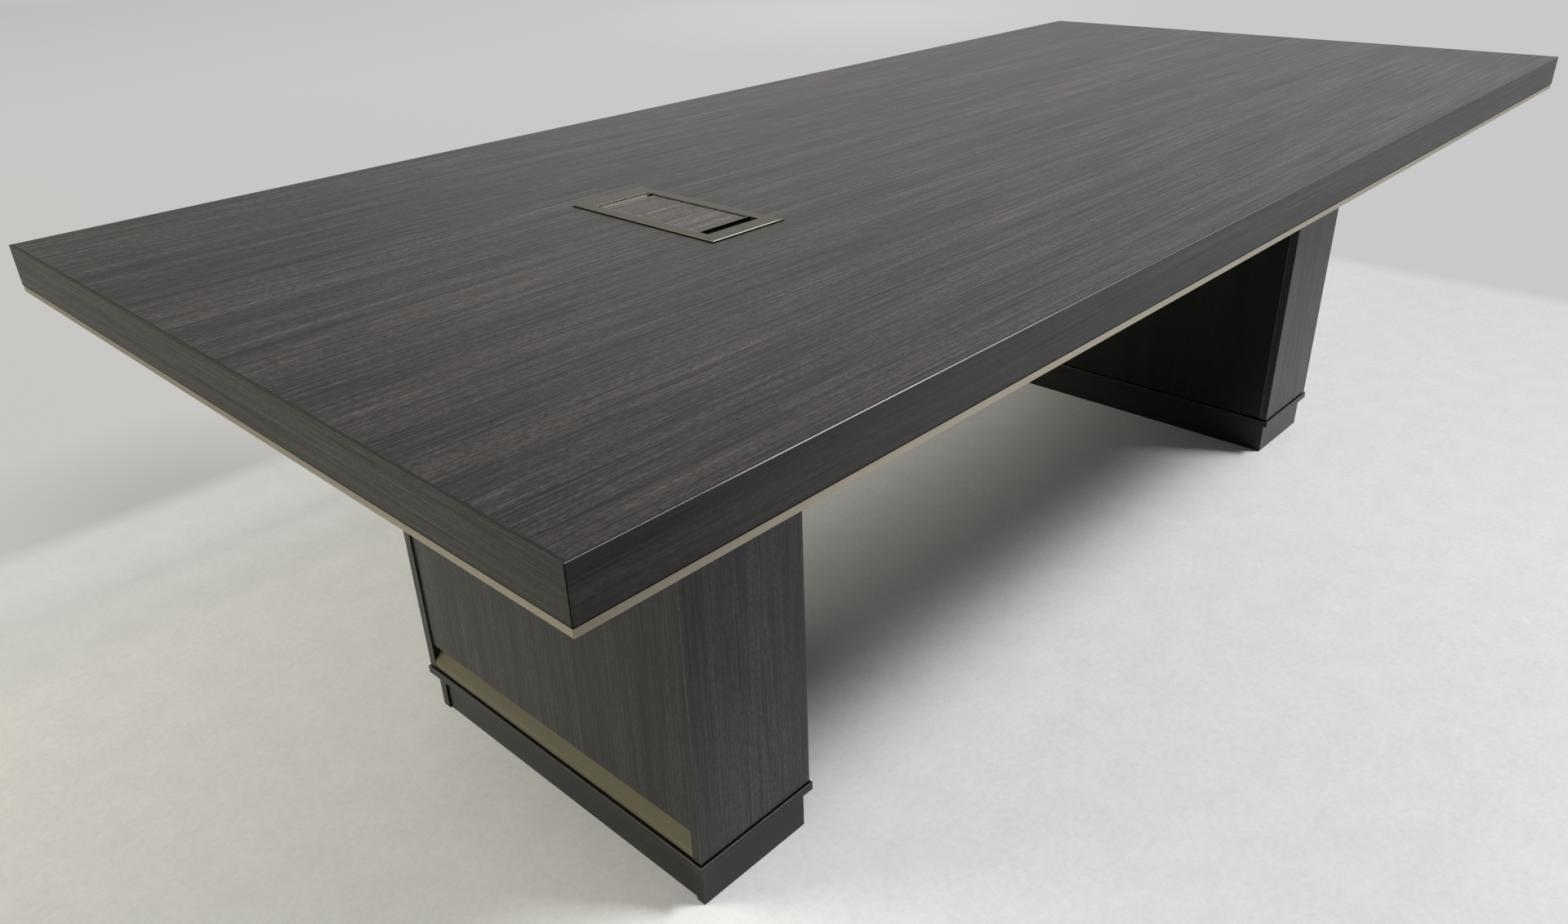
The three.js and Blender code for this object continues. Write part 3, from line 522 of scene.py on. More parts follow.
# Near-black paint laid where shade falls: a ring round the power box, lines under the bands and over the trim, the
# shadow gap's walls, the frame's outer edge and the lid's back.
shade_black, tree, shader, place = new_material("painted_shade_black")
shade_black_mottle = noise(tree, place, (0.0006, 0.0006, 0.0006), detail=3)
tone = ramp(tree, shade_black_mottle, (0.3, (0.003, 0.003, 0.003, 1)), (0.7, (0.007, 0.007, 0.007, 1)))
tree.links.new(tone, shader.inputs["Base Color"])
shader.inputs["Roughness"].default_value = 0.95
shader.inputs["Specular IOR Level"].default_value = 0.1

TOP_VENEER = veneer("top_veneer", "X", 1.0, TABLE_HUES)
glue_line = veneer("glue_line", "Y", 0.3, TABLE_HUES, 0.3, gloss=0.1)

low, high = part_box("top_panel")
well_low, well_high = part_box("box_housing")
spare = CUT_OUT_GAP * (X + Y)
panel = add_block("veneered_top", low, high)
cut_opening(panel, well_low - spare, well_high + spare)
# Painted shade: a 3 mm ring of the top round the frame is painted black, where the frame's edge shades the top.
frame_low, frame_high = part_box("box_frame")
shade_ring_low, shade_ring_high = frame_low - SHADE_RING_REACH * (X + Y), frame_high + SHADE_RING_REACH * (X + Y)
saw(panel, 0, shade_ring_low.x, shade_ring_high.x)
saw(panel, 1, shade_ring_low.y, shade_ring_high.y)
ease(
    panel, JOINT_EASE,
    lambda a, b: close(a.z, high.z) and close(a.z, b.z) and close(a.x, b.x) and abs(a.x) > high.x - TINY,
    steps=1,
)
fit(panel, TOP_VENEER, "dark_wood", "table", "top_panel")
touch(panel, glue_line, lambda at, facing: 0.5 < facing.z < 0.9)
touch(panel, backing_sheet, lambda at, facing: facing.z < -0.5)
touch(panel, particle_board, lambda at, facing: abs(facing.z) < 0.5)
# Painted shade ring round the frame.
touch(panel, shade_black, lambda at, facing: facing.z > 0.9 and inside(at, shade_ring_low, shade_ring_high))


def refinish(node, material):
    """A piece of the frame keeps its shape and takes a finish."""
    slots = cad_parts[node].data.materials
    slots.clear()
    slots.append(material)


# Edge bands
# Solid 3 mm lippings glued round the built-up edge and mitred at the corners, their grain along each
# edge. A painted highlight runs pale along the upper arris of the long sides, strongest near the near end,
# and a fine joint shows at the short ends.
LONG_UPPER_ARRIS = 0.0008
SHORT_UPPER_ARRIS = 0.0003
BAND_LOWER_ARRIS = 0.0004
BAND_SHADE_STRIP = 0.0011
BAND_CORNER_ARRIS = 0.0005
# Lit and shaded copies: the bands across the table take a paler copy tinted olive, painted warm light from the left
# end, and the long bands a darker one.
OLIVE_PAINTED_LIGHT_HUES = ((0.98, 1.0, 0.95, 1), (1.0, 1.03, 0.66, 1))
BAND_VENEER = (
    veneer("band_veneer_along_table", "X", 0.5, TABLE_HUES, 0.8, gloss=0.58),
    veneer("band_veneer_across_table", "Y", 0.5, OLIVE_PAINTED_LIGHT_HUES, 1.1),
)
# Painted shade: the top faces of the bands take a much darker copy, a dark line along the top edge.
SHADED_EDGE = (
    veneer("shaded_edge_along_table", "X", 0.4, TABLE_HUES, 0.25),
    veneer("shaded_edge_across_table", "Y", 0.4, TABLE_HUES, 0.15),
)

# Painted highlight: a pale line along the upper arris of the long bands, strongest near the near end.
HIGHLIGHT_DEEP = (0.40, 0.39, 0.38, 1)
HIGHLIGHT_PALE = (0.62, 0.61, 0.59, 1)
HIGHLIGHT_LEAST = (0.14, 0.14, 0.14, 1)
HIGHLIGHT_SOME = (0.36, 0.36, 0.36, 1)
HIGHLIGHT_MOST = (1, 1, 1, 1)

painted_highlight_arris, tree, shader, place = new_material("painted_highlight_arris")
streaking = noise(tree, place, (0.12, 0.002, 0.002), detail=3)
highlight_tone = ramp(tree, streaking, (0.35, HIGHLIGHT_DEEP), (0.60, HIGHLIGHT_PALE))
split = tree.nodes.new("ShaderNodeSeparateXYZ")
tree.links.new(place, split.inputs["Vector"])
along = mapped(tree, split.outputs["X"], -1.2, 1.2, 0, 1)
highlight_spread = ramp(
    tree, along, (0, HIGHLIGHT_LEAST), (0.052, HIGHLIGHT_LEAST), (0.083, HIGHLIGHT_MOST), (0.175, HIGHLIGHT_MOST),
    (0.26, HIGHLIGHT_SOME), (0.60, HIGHLIGHT_LEAST),
)
tree.links.new(tinted(tree, highlight_tone, highlight_spread), shader.inputs["Base Color"])
tree.links.new(mapped(tree, streaking, 0.3, 0.7, 0.40, 0.30), shader.inputs["Roughness"])

SIDES = {
    "front": {"run": 0, "out": 1, "sign": -1},
    "back": {"run": 0, "out": 1, "sign": 1},
    "left": {"run": 1, "out": 0, "sign": -1},
    "right": {"run": 1, "out": 0, "sign": 1},
}


def select_corners(piece, wanted):
    """In edit mode, selects the corners for which wanted(place) is true."""
    work_on(piece)
    bpy.ops.object.mode_set(mode="EDIT")
    bpy.ops.mesh.select_mode(type="VERT")
    bpy.ops.mesh.select_all(action="DESELECT")
    bpy.ops.object.mode_set(mode="OBJECT")
    for corner in piece.data.vertices:
        corner.select = wanted(corner.co)
    bpy.ops.object.mode_set(mode="EDIT")


def mitred_strip(name, node, side):
    """A strip in the place of the frame's own, its ends cut at 45 degrees."""
    low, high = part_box(node)
    run, out, sign = side["run"], side["out"], side["sign"]
    strip = add_block(name, low, high)
    inner = low[out] if sign > 0 else high[out]
    for end, turn in ((low[run], 1), (high[run], -1)):
        select_corners(strip, lambda at: close(at[run], end) and close(at[out], inner))
        bpy.ops.transform.translate(value=turn * (high[out] - low[out]) * AXES[run])
        bpy.ops.object.mode_set(mode="OBJECT")
    return strip


def long_edge(node, side, level, outer=True):
    """Picks the edge that runs along a strip's outer or inner face at a level."""
    low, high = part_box(node)
    run, out = side["run"], side["out"]
    face = high[out] if (side["sign"] > 0) == outer else low[out]

    def wanted(a, b):
        lies_there = all(close(at[out], face) and close(at.z, level) for at in (a, b))
        return lies_there and not close(a[run], b[run])

    return wanted


def outer_corner(node, side):
    """Picks the two upright edges at the ends of a strip's outer face."""
    low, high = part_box(node)
    out = side["out"]
    face = high[out] if side["sign"] > 0 else low[out]

    def wanted(a, b):
        return all(close(at[out], face) for at in (a, b)) and not close(a.z, b.z)

    return wanted


for name, side in SIDES.items():
    node = f"edge_band_{name}"
    low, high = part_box(node)
    band = mitred_strip(f"{name}_edge_band", node, side)
    upper_arris = LONG_UPPER_ARRIS if side["run"] == 0 else SHORT_UPPER_ARRIS
    ease(band, upper_arris, long_edge(node, side, high.z))
    ease(band, BAND_LOWER_ARRIS, long_edge(node, side, low.z), steps=1)
    ease(band, BAND_CORNER_ARRIS, outer_corner(node, side), steps=1)
    saw(band, 2, low.z + BAND_SHADE_STRIP)
    fit(band, BAND_VENEER[side["run"]], "dark_wood", "table", node)
    # Painted shade: black along the band's foot over the trim and on its upright corner chamfers.
    touch(band, shade_black, lambda at, facing: at.z < low.z + BAND_SHADE_STRIP and facing.z > -0.9)
    touch(band, shade_black, lambda at, facing: abs(facing.x) > 0.3 and abs(facing.y) > 0.3)
    touch(band, SHADED_EDGE[side["run"]], lambda at, facing: facing.z > 0.1)
    if side["run"] == 0:
        # Painted highlight along the long bands' upper arris.
        touch(band, painted_highlight_arris, lambda at, facing: 0.1 < facing.z < 0.9)


# Build-up strips and bearers
# Unfaced particle board glued under the panel: strips that thicken the edge and a bearer over each
# pedestal. Pale flakes pressed in a brown binder, left raw because nobody sees them.
for node in ("build_up_front", "build_up_back", "build_up_left", "build_up_right"):
    refinish(node, particle_board)
refinish("bearer_left", particle_board)
refinish("bearer_right", particle_board)


# Trim
# An aluminium flat anodised champagne, mitred round the underside of the edge and set in by less than
# a millimetre, so that it reads as one bright line.
TRIM_ARRIS = 0.0004
TRIM_SHADE_STRIP = 0.0005
CHAMPAGNE_DEEP = (0.465, 0.428, 0.340, 1)
CHAMPAGNE_PALE = (0.595, 0.557, 0.445, 1)
BRUSH_WIDTH = 0.0006
BRUSH_LENGTH = 0.25


def brushed_metal(name, axis, deep, pale, roughness):
    """Satin anodised aluminium, brushed along an axis."""
    material, tree, shader, place = new_material(name)
    lengths = [BRUSH_LENGTH if number == axis else BRUSH_WIDTH for number in range(3)]
    brushing = noise(tree, place, lengths, detail=3, roughness=0.6)
    tree.links.new(ramp(tree, brushing, (0.30, deep), (0.70, pale)), shader.inputs["Base Color"])
    streaking = mapped(tree, brushing, 0.3, 0.7, roughness - 0.06, roughness + 0.06)
    tree.links.new(streaking, shader.inputs["Roughness"])
    shader.inputs["Metallic"].default_value = 1
    return material


TRIM_METAL = (
    brushed_metal("champagne_along_table", 0, CHAMPAGNE_DEEP, CHAMPAGNE_PALE, 0.42),
    brushed_metal("champagne_across_table", 1, CHAMPAGNE_DEEP, CHAMPAGNE_PALE, 0.42),
)

for name, side in SIDES.items():
    node = f"trim_{name}"
    low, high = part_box(node)
    bar = mitred_strip(f"{name}_trim_bar", node, side)
    ease(bar, TRIM_ARRIS, long_edge(node, side, high.z), steps=2)
    ease(bar, TRIM_ARRIS, long_edge(node, side, low.z), steps=2)
    saw(bar, 2, high.z - TRIM_SHADE_STRIP)
    fit(bar, TRIM_METAL[side["run"]], "champagne_metal", "table", node)
    # Painted shade: a black strip along the top of the trim, under the band.
    touch(bar, shade_black, lambda at, facing: at.z > high.z - TRIM_SHADE_STRIP and facing.z < 0.9)


# Pedestal bodies
# Veneered boards glued into an upright box, grain running up. The edges of every board are eased before
# lacquering; a painted highlight gives each upright corner a fine line of light, and the foot is chamfered
# to a dark line.
BODY_ARRIS = 0.0007
FOOT_ARRIS = 0.0003
DUN_HUES = ((0.91, 1.0, 1.01, 1), (0.95, 1.04, 0.92, 1))
BODY_VENEER = veneer("body_veneer", "Z", 0.9, DUN_HUES, 1.25, satin=0.36)
# Painted shade: the side panels take a slightly darker, less glossy copy than the outer panel, and the inner panels,
# turned to the middle under the top, a far darker, duller one.
SIDE_VENEER = veneer("side_veneer", "Z", 0.9, DUN_HUES, 1.15, gloss=0.46, satin=0.36)
INNER_VENEER = veneer("inner_veneer", "Z", 0.3, DUN_HUES, 0.28, gloss=0.25)
BODY_CORNER_HIGHLIGHT = veneer("painted_highlight_body_corner", "Z", 0.4, DUN_HUES, 6.5)
PEDESTALS = ("left", "right")

for pedestal in PEDESTALS:
    for part in ("side_panel_front", "side_panel_back", "outer_panel", "inner_panel"):
        node = f"{pedestal}_{part}"
        low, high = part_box(node)
        board = add_block(f"{pedestal}_body_{part}", low, high)
        ease(board, FOOT_ARRIS, lambda a, b: close(a.z, low.z) and close(b.z, low.z), steps=1)
        ease(board, BODY_ARRIS, lambda a, b: max(a.z, b.z) > low.z + 2 * FOOT_ARRIS, steps=2)
        finish = {"inner_panel": INNER_VENEER, "outer_panel": BODY_VENEER}.get(part, SIDE_VENEER)
        fit(board, finish, "dark_wood", "table", node)
        # Painted highlight on the upright corner chamfers.
        touch(board, BODY_CORNER_HIGHLIGHT, lambda at, facing: abs(facing.x) > 0.3 and abs(facing.y) > 0.3)


# Base boards and plinths
# The body stands on a board that laps it by 3 mm all round, on a plinth set back under it. Both carry
# the same veneer with the grain lying level, sanded smoother and filled. A painted highlight lies on the
# upper arrises, and the boards across the table take an olive tint, painted warm light from the left end.
BASE_ARRIS = 0.0009
SHADOW_GAP = 0.0023
GAP_DEPTH = 0.0055
PLINTH_ARRIS = 0.0006
BASE_VENEER = (
    veneer("base_veneer_along_table", "X", 0.4, DUN_HUES, 0.25, gloss=0.44, satin=0.31),
    veneer("base_veneer_across_table", "Y", 0.4, OLIVE_PAINTED_LIGHT_HUES, 0.25, gloss=0.42, satin=0.31),
)
BASE_ARRIS_HIGHLIGHT = veneer("painted_highlight_base_arris", "Y", 0.3, DUN_HUES, 6.5)
BASE_BOARDS = {
    "base_board": ("base", 1, BASE_ARRIS),
    "plinth_front": ("kick_front", 0, PLINTH_ARRIS),
    "plinth_back": ("kick_back", 0, PLINTH_ARRIS),
    "plinth_outer": ("kick_outer", 1, PLINTH_ARRIS),
    "plinth_inner": ("kick_inner", 1, PLINTH_ARRIS),
}

for pedestal in PEDESTALS:
    for node, (name, run, arris) in BASE_BOARDS.items():
        low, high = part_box(f"{pedestal}_{node}")
        ledge = SHADOW_GAP if node == "base_board" else 0
        board = add_block(f"{pedestal}_{name}", low, high - ledge * Z)
        ease(board, arris, lambda a, b: True)
        if node == "base_board":
            select_faces(board, lambda at, facing: facing.z > 0.99)
            bpy.ops.mesh.inset(thickness=GAP_DEPTH - arris)
            bpy.ops.mesh.extrude_region_move(TRANSFORM_OT_translate={"value": ledge * Z})
            bpy.ops.object.mode_set(mode="OBJECT")
        fit(board, BASE_VENEER[run], "dark_wood", "table", f"{pedestal}_{node}")
        # Painted highlight on the upper arrises.
        touch(board, BASE_ARRIS_HIGHLIGHT, lambda at, facing: 0.3 < facing.z < 0.95)
        # Painted shade: the walls of the shadow gap under the body are painted black.
        touch(board, shade_black, lambda at, facing: at.z > high.z - ledge + TINY and facing.z < 0.5)


# Sills
# Champagne sheet bent into a foot, a lip and a slope at the base of each outer face, with its flange
# pinned up behind the panel. The bends have the radius of the folding bar.
SILL_SHEET = 0.0015
SILL_FOOT = 0.020
SILL_LIP = 0.012
SILL_FLANGE = 0.025
SILL_BEND = 0.0014
SILL_DEEP = (0.163, 0.149, 0.109, 1)
SILL_PALE = (0.211, 0.194, 0.144, 1)
# Painted light: the lip takes a paler copy of the sill metal than the slope.
LIP_LIT_DEEP = (0.238, 0.214, 0.149, 1)
LIP_LIT_PALE = (0.295, 0.271, 0.186, 1)


def add_sheet(name, low, high):
    """A flat sheet at the level of two corners."""
    bpy.ops.object.select_all(action="DESELECT")
    bpy.ops.mesh.primitive_plane_add(size=1, location=(low + high) / 2)
    bpy.context.object.scale = high - low
    return settle(name)


def fold(sheet, wanted, *runs):
    """Draws out the chosen edge of a sheet by one run after another."""
    select_edges(sheet, wanted)
    for run in runs:
        bpy.ops.mesh.extrude_edges_move(TRANSFORM_OT_translate={"value": run})
    bpy.ops.object.mode_set(mode="OBJECT")


def thicken(sheet, thickness, towards_face):
    """Gives a sheet its thickness, on the side that it faces or on its back."""
    wall = sheet.modifiers.new("wall", "SOLIDIFY")
    wall.thickness = thickness
    wall.offset = 1 if towards_face else -1
    wall.use_even_offset = True
    apply(sheet, wall)


SILL_METAL = brushed_metal("sill_metal", 1, SILL_DEEP, SILL_PALE, 0.5)
LIP_PAINTED_LIGHT_METAL = brushed_metal("sill_lip_painted_light", 1, LIP_LIT_DEEP, LIP_LIT_PALE, 0.45)

for pedestal, outwards in zip(PEDESTALS, (-1, 1)):
    low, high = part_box(f"{pedestal}_sill")
    face = high.x if outwards > 0 else low.x
    heel = face - outwards * SILL_FOOT
    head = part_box(f"{pedestal}_outer_panel")
    flange = head[0].x - 0.0003 if outwards > 0 else head[1].x + 0.0003
    rise = high.z - low.z - SILL_LIP - SILL_FLANGE
    foot_low = Vector((min(face, heel), low.y, low.z))
    foot_high = Vector((max(face, heel), high.y, low.z))
    sill = add_sheet(f"{pedestal}_bent_sill", foot_low, foot_high)
    fold(
        sill, lambda a, b: close(a.x, face) and close(b.x, face),
        (0, 0, SILL_LIP), (flange - face, 0, rise), (0, 0, SILL_FLANGE),
    )
    bends = (low.z, low.z + SILL_LIP, high.z - SILL_FLANGE)
    ease(
        sill, SILL_BEND,
        lambda a, b: close(a.z, b.z) and not close(a.y, b.y) and not close(a.x, heel)
        and any(close(a.z, bend) for bend in bends),
    )
    thicken(sill, SILL_SHEET, towards_face=True)
    fit(sill, SILL_METAL, "champagne_metal", "table", f"{pedestal}_sill")
    # Painted light on the lip faces.
    touch(sill, LIP_PAINTED_LIGHT_METAL, lambda at, facing: abs(facing.x) > 0.95 and at.z < low.z + SILL_LIP)


# Top plates and fixing screws
# A raw board closes each body, and four zinc-plated pan-head screws go up through it into the bearer,
# each with a cross recess and a coarse thread.
FIXING = {"shank": 0.0025, "head": 0.005, "head_height": 0.0035, "pitch": 0.0018, "thread": 0.0005}

zinc_plate, tree, shader, place = new_material("zinc_plate")
spangle = noise(tree, place, (0.004, 0.004, 0.004), detail=3)
zinc_tone = ramp(tree, spangle, (0.3, (0.50, 0.50, 0.49, 1)), (0.7, (0.66, 0.66, 0.64, 1)))
tree.links.new(zinc_tone, shader.inputs["Base Color"])
shader.inputs["Metallic"].default_value = 1
tree.links.new(mapped(tree, spangle, 0.3, 0.7, 0.28, 0.42), shader.inputs["Roughness"])


def turn_piece(name, place, towards, rings, sides=32):
    """A piece turned on a lathe: a disc drawn out from ring to ring, each a (distance, radius), and then
    laid along a direction."""
    (start, radius), *others = rings
    bpy.ops.object.select_all(action="DESELECT")
    bpy.ops.mesh.primitive_circle_add(vertices=sides, radius=radius, fill_type="NGON", location=start * Z)
    piece = settle(name)
    bpy.ops.object.mode_set(mode="EDIT")
    bpy.ops.mesh.select_all(action="SELECT")
    for distance, next_radius in others:
        bpy.ops.mesh.extrude_region_move(TRANSFORM_OT_translate={"value": (distance - start) * Z})
        share = next_radius / radius
        bpy.ops.transform.resize(value=(share, share, 1), center_override=distance * Z)
        start, radius = distance, next_radius
    bpy.ops.object.mode_set(mode="OBJECT")
    piece.rotation_euler = Vector(towards).to_track_quat("Z", "Y").to_euler()
    piece.location = place
    return settle(name)


def combine(piece, tool, operation):
    """Joins a second piece to the first, or cuts it away from it."""
    work = piece.modifiers.new("work", "BOOLEAN")
    work.operation = operation
    work.object = tool
    apply(piece, work)
    bpy.data.objects.remove(tool)


def add_screw(name, place, towards, length, sizes):
    """A pan-head screw with a cross recess, from its head's face towards its tip."""
    shank, head, height = sizes["shank"], sizes["head"], sizes["head_height"]
    rings = [(0, 0.55 * head), (0.14 * height, 0.80 * head), (0.40 * height, 0.96 * head)]
    rings += [(0.65 * height, head), (0.92 * height, head), (height, 0.96 * head), (height, shank)]
    turns = int((length - height - 2 * shank) / sizes["pitch"])
    for turn in range(turns):
        crest = height + (turn + 1) * sizes["pitch"]
        rings += [
            (crest - 0.35 * sizes["pitch"], shank - sizes["thread"]), (crest, shank),
            (crest + 0.35 * sizes["pitch"], shank - sizes["thread"]),
        ]
    rings += [(length - shank, shank - sizes["thread"]), (length, 0.08 * shank)]
    screw = turn_piece(name, (0, 0, 0), Z, rings)
    arm = Vector((0.5 * head, 0.11 * head, 0.55 * height))
    for reach in (arm, arm.yxz):
        combine(screw, add_block("driver", -reach, reach), "DIFFERENCE")
    screw.rotation_euler = Vector(towards).to_track_quat("Z", "Y").to_euler()
    screw.location = place
    work_on(screw)
    return settle(name)


SCREWS_PER_PEDESTAL = 4
for pedestal in PEDESTALS:
    refinish(f"{pedestal}_top_plate", particle_board)
    for number in range(1, SCREWS_PER_PEDESTAL + 1):
        node = f"{pedestal}_fixing_screw_{number}"
        low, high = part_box(node)
        foot = Vector(((low.x + high.x) / 2, (low.y + high.y) / 2, low.z))
        screw = add_screw(f"{pedestal}_wood_screw_{number}", foot, Z, high.z - low.z, FIXING)
        fit(screw, zinc_plate, "bright_steel", "table", node)


# Power box frame
# A bronzed aluminium plate lies on the top round the well, with a skirt turned down inside the cut-out,
# two stops for the lid and holes for the hinge pin. Painted highlights lie on the outer arris of the slot
# and hinge sides and on a strip along the hinge edge, and the outer edge below is painted black as shade.
FRAME_PLATE = 0.002
SIDE_RAIL = 0.0155
SLOT_RAIL = 0.025
HINGE_RAIL = 0.029
SKIRT = 0.0015
FRAME_ARRIS = 0.0010
FRAME_UNDERCUT = 0.0003
FRAME_LAND = 0.0012
WELL_ARRIS = 0.0002
STOP_LENGTH = 0.010
STOP_REACH = 0.004
STOP_HEIGHT = 0.003
STOP_FROM_LID_END = 0.006
STOP_GAP = 0.0003
PIN_HOLE_RADIUS = 0.00165
BARREL_RADIUS = 0.0043
LID_THICKNESS = 0.005
BRONZE_DEEP = (0.106, 0.095, 0.079, 1)
BRONZE_PALE = (0.142, 0.129, 0.106, 1)
ARRIS_HIGHLIGHT_DEEP = (0.34, 0.32, 0.285, 1)
ARRIS_HIGHLIGHT_PALE = (0.41, 0.39, 0.35, 1)
powder_coat, tree, shader, place = new_material("powder_coat")
orange_peel = noise(tree, place, (0.0012, 0.0012, 0.0012), detail=2)
coat_tone = ramp(tree, orange_peel, (0.3, (0.012, 0.012, 0.013, 1)), (0.7, (0.022, 0.022, 0.023, 1)))
tree.links.new(coat_tone, shader.inputs["Base Color"])
tree.links.new(mapped(tree, orange_peel, 0.3, 0.7, 0.42, 0.6), shader.inputs["Roughness"])

BRONZE = brushed_metal("bronze_across_table", 1, BRONZE_DEEP, BRONZE_PALE, 0.38)
LAND_HIGHLIGHT_DEEP = (0.30, 0.28, 0.24, 1)
LAND_HIGHLIGHT_PALE = (0.38, 0.355, 0.305, 1)
ARRIS_HIGHLIGHT_METAL = brushed_metal("painted_highlight_frame_arris", 0, ARRIS_HIGHLIGHT_DEEP, ARRIS_HIGHLIGHT_PALE, 0.55)
land_highlight_metal = brushed_metal("land_highlight_metal", 0, LAND_HIGHLIGHT_DEEP, LAND_HIGHLIGHT_PALE, 0.35)


def add_bar(name, axis, place, radius, length, sides=64):
    """A round bar along an axis."""
    bpy.ops.object.select_all(action="DESELECT")
    bpy.ops.mesh.primitive_cylinder_add(vertices=sides, radius=radius, depth=length, location=place)
    bpy.context.object.rotation_euler = AXES[axis].to_track_quat("Z", "Y").to_euler()
    return settle(name)


low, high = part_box("box_frame")
lid_low, lid_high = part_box("lid_tray")
deck = high.z - FRAME_PLATE
well_low = Vector((low.x + SIDE_RAIL, low.y + SLOT_RAIL, low.z))
well_high = Vector((high.x - SIDE_RAIL, high.y - HINGE_RAIL, high.z))
skirt_low = well_low - SKIRT * (X + Y)
skirt_high = well_high + SKIRT * (X + Y)
hinge = Vector(((low.x + high.x) / 2, lid_high.y - BARREL_RADIUS, lid_high.z - BARREL_RADIUS))

plate = add_block("power_box_frame", Vector((low.x, low.y, deck)), high)
saw(plate, 0, skirt_low.x, skirt_high.x)
saw(plate, 1, skirt_low.y, skirt_high.y, high.y - FRAME_LAND)
cut_opening(plate, well_low, well_high)
select_faces(plate, lambda at, facing: facing.z < -0.9 and inside(at, skirt_low, skirt_high))
bpy.ops.mesh.extrude_region_move(TRANSFORM_OT_translate={"value": (low.z - deck) * Z})
bpy.ops.object.mode_set(mode="OBJECT")


def round_outside(level):
    """Picks the edges that run round the outside of the frame's plate at a level."""

    def on_outside(at):
        beside = close(at.x, low.x) or close(at.x, high.x)
        return close(at.z, level) and (beside or close(at.y, low.y) or close(at.y, high.y))

    def wanted(a, b):
        along = close(a.x, b.x) and (close(a.x, low.x) or close(a.x, high.x))
        across = close(a.y, b.y) and (close(a.y, low.y) or close(a.y, high.y))
        return on_outside(a) and on_outside(b) and (along or across)

    return wanted


def round_well(a, b):
    """Picks the edges that run round the top of the frame's opening."""
    along = close(a.x, b.x) and (close(a.x, well_low.x) or close(a.x, well_high.x))
    across = close(a.y, b.y) and (close(a.y, well_low.y) or close(a.y, well_high.y))
    middle = (a + b) / 2
    spare = TINY * (X + Y)
    return close(a.z, high.z) and close(b.z, high.z) and (along or across) and inside(
        middle, well_low - spare, well_high + spare
    )


ease(plate, FRAME_ARRIS, round_outside(high.z))
ease(plate, FRAME_UNDERCUT, round_outside(deck), steps=1)
ease(plate, WELL_ARRIS, round_well, steps=2)
combine(plate, add_bar("pin_hole", 0, hinge, PIN_HOLE_RADIUS, 2 * (high.x - low.x)), "DIFFERENCE")
for wall, inwards in ((well_low.x, 1), (well_high.x, -1)):
    stop_top = lid_high.z - LID_THICKNESS - STOP_GAP
    near = lid_low.y + STOP_FROM_LID_END
    sides = sorted((wall - inwards * SKIRT / 2, wall + inwards * STOP_REACH))
    stop = add_block(
        "stop",
        Vector((sides[0], near, stop_top - STOP_HEIGHT)), Vector((sides[1], near + STOP_LENGTH, stop_top)),
    )
    combine(plate, stop, "UNION")
fit(plate, BRONZE, "champagne_metal", "table", "box_frame")
# Painted highlight: the arrises along the slot and hinge sides take a bright metal.
touch(plate, ARRIS_HIGHLIGHT_METAL, lambda at, facing: facing.z > 0.25 and abs(facing.y) > 0.25)
# Painted highlight: a narrow strip along the hinge edge's top takes a paler metal.
touch(plate, land_highlight_metal, lambda at, facing: facing.z > 0.9 and at.y > high.y - FRAME_LAND)
# Painted shade: the outer edge below the arris is painted black.
touch(
    plate, shade_black,
    lambda at, facing: facing.z < 0.2 and at.z > deck - TINY and not inside(at, skirt_low, skirt_high),
)


# Lid
# A bronzed tray with a rolled barrel at its hinge end and a piece of veneer let into it. It stops short
# of the frame at the other end, thinned from below for a slot for leads. Its back and ends are painted
# black, painted shade that keeps the slot dark, and its bronze is paler than the frame's, painted light.
LID_RIM = 0.001
INLAY_DEPTH = 0.002
BARREL_LAND = 0.008
BARREL_BORE = 0.0018
LID_ARRIS = 0.0002
LAND_ARRIS = 0.0010
INLAY_ARRIS = 0.0002
INLAY_SINK = 0.0010
LID_LIP = 0.0003
LID_UNDERCUT = 0.003
NOTCH_LOW = Vector((0.0310, -0.0010, -0.01))
NOTCH_HIGH = Vector((0.0425, 0.0055, 0.01))
# Painted light: the lid's bronze is paler than the frame's, to bring out its rim lines.
LID_DEEP = (0.235, 0.214, 0.176, 1)
LID_PALE = (0.30, 0.273, 0.225, 1)
LID_METAL = brushed_metal("lid_metal", 0, LID_DEEP, LID_PALE, 0.34)

INLAY_VENEER = veneer("inlay_veneer", "X", 0.9, TABLE_HUES, 2.7)

tray_low = Vector((lid_low.x, lid_low.y, lid_high.z - LID_THICKNESS))
tray_high = Vector((lid_high.x, hinge.y, lid_high.z))
recess_low = tray_low + LID_RIM * (X + Y)
recess_high = Vector((tray_high.x - LID_RIM, hinge.y - BARREL_LAND, tray_high.z))
tray = add_block("flip_lid", tray_low, tray_high)
saw(tray, 0, recess_low.x, recess_high.x)
saw(tray, 1, recess_low.y, recess_high.y)
saw(tray, 2, tray_high.z - LID_LIP)
select_corners(tray, lambda at: close(at.y, tray_low.y) and close(at.z, tray_low.z))
bpy.ops.transform.translate(value=LID_UNDERCUT * Y)
bpy.ops.object.mode_set(mode="OBJECT")
select_faces(tray, lambda at, facing: facing.z > 0.9 and inside(at, recess_low, recess_high))
bpy.ops.mesh.extrude_region_move(TRANSFORM_OT_translate={"value": -INLAY_DEPTH * Z})
bpy.ops.object.mode_set(mode="OBJECT")
ease(
    tray, LID_ARRIS,
    lambda a, b: close(a.y, b.y) and close(a.y, tray_low.y) and min(a.z, b.z) > tray_high.z - TINY, steps=2,
)
ease(
    tray, LAND_ARRIS,
    lambda a, b: close(a.y, b.y) and close(a.y, recess_high.y) and close(a.z, b.z)
    and close(a.z, tray_high.z) and inside((a + b) / 2 - TINY * Y, recess_low, recess_high),
    steps=2,
)
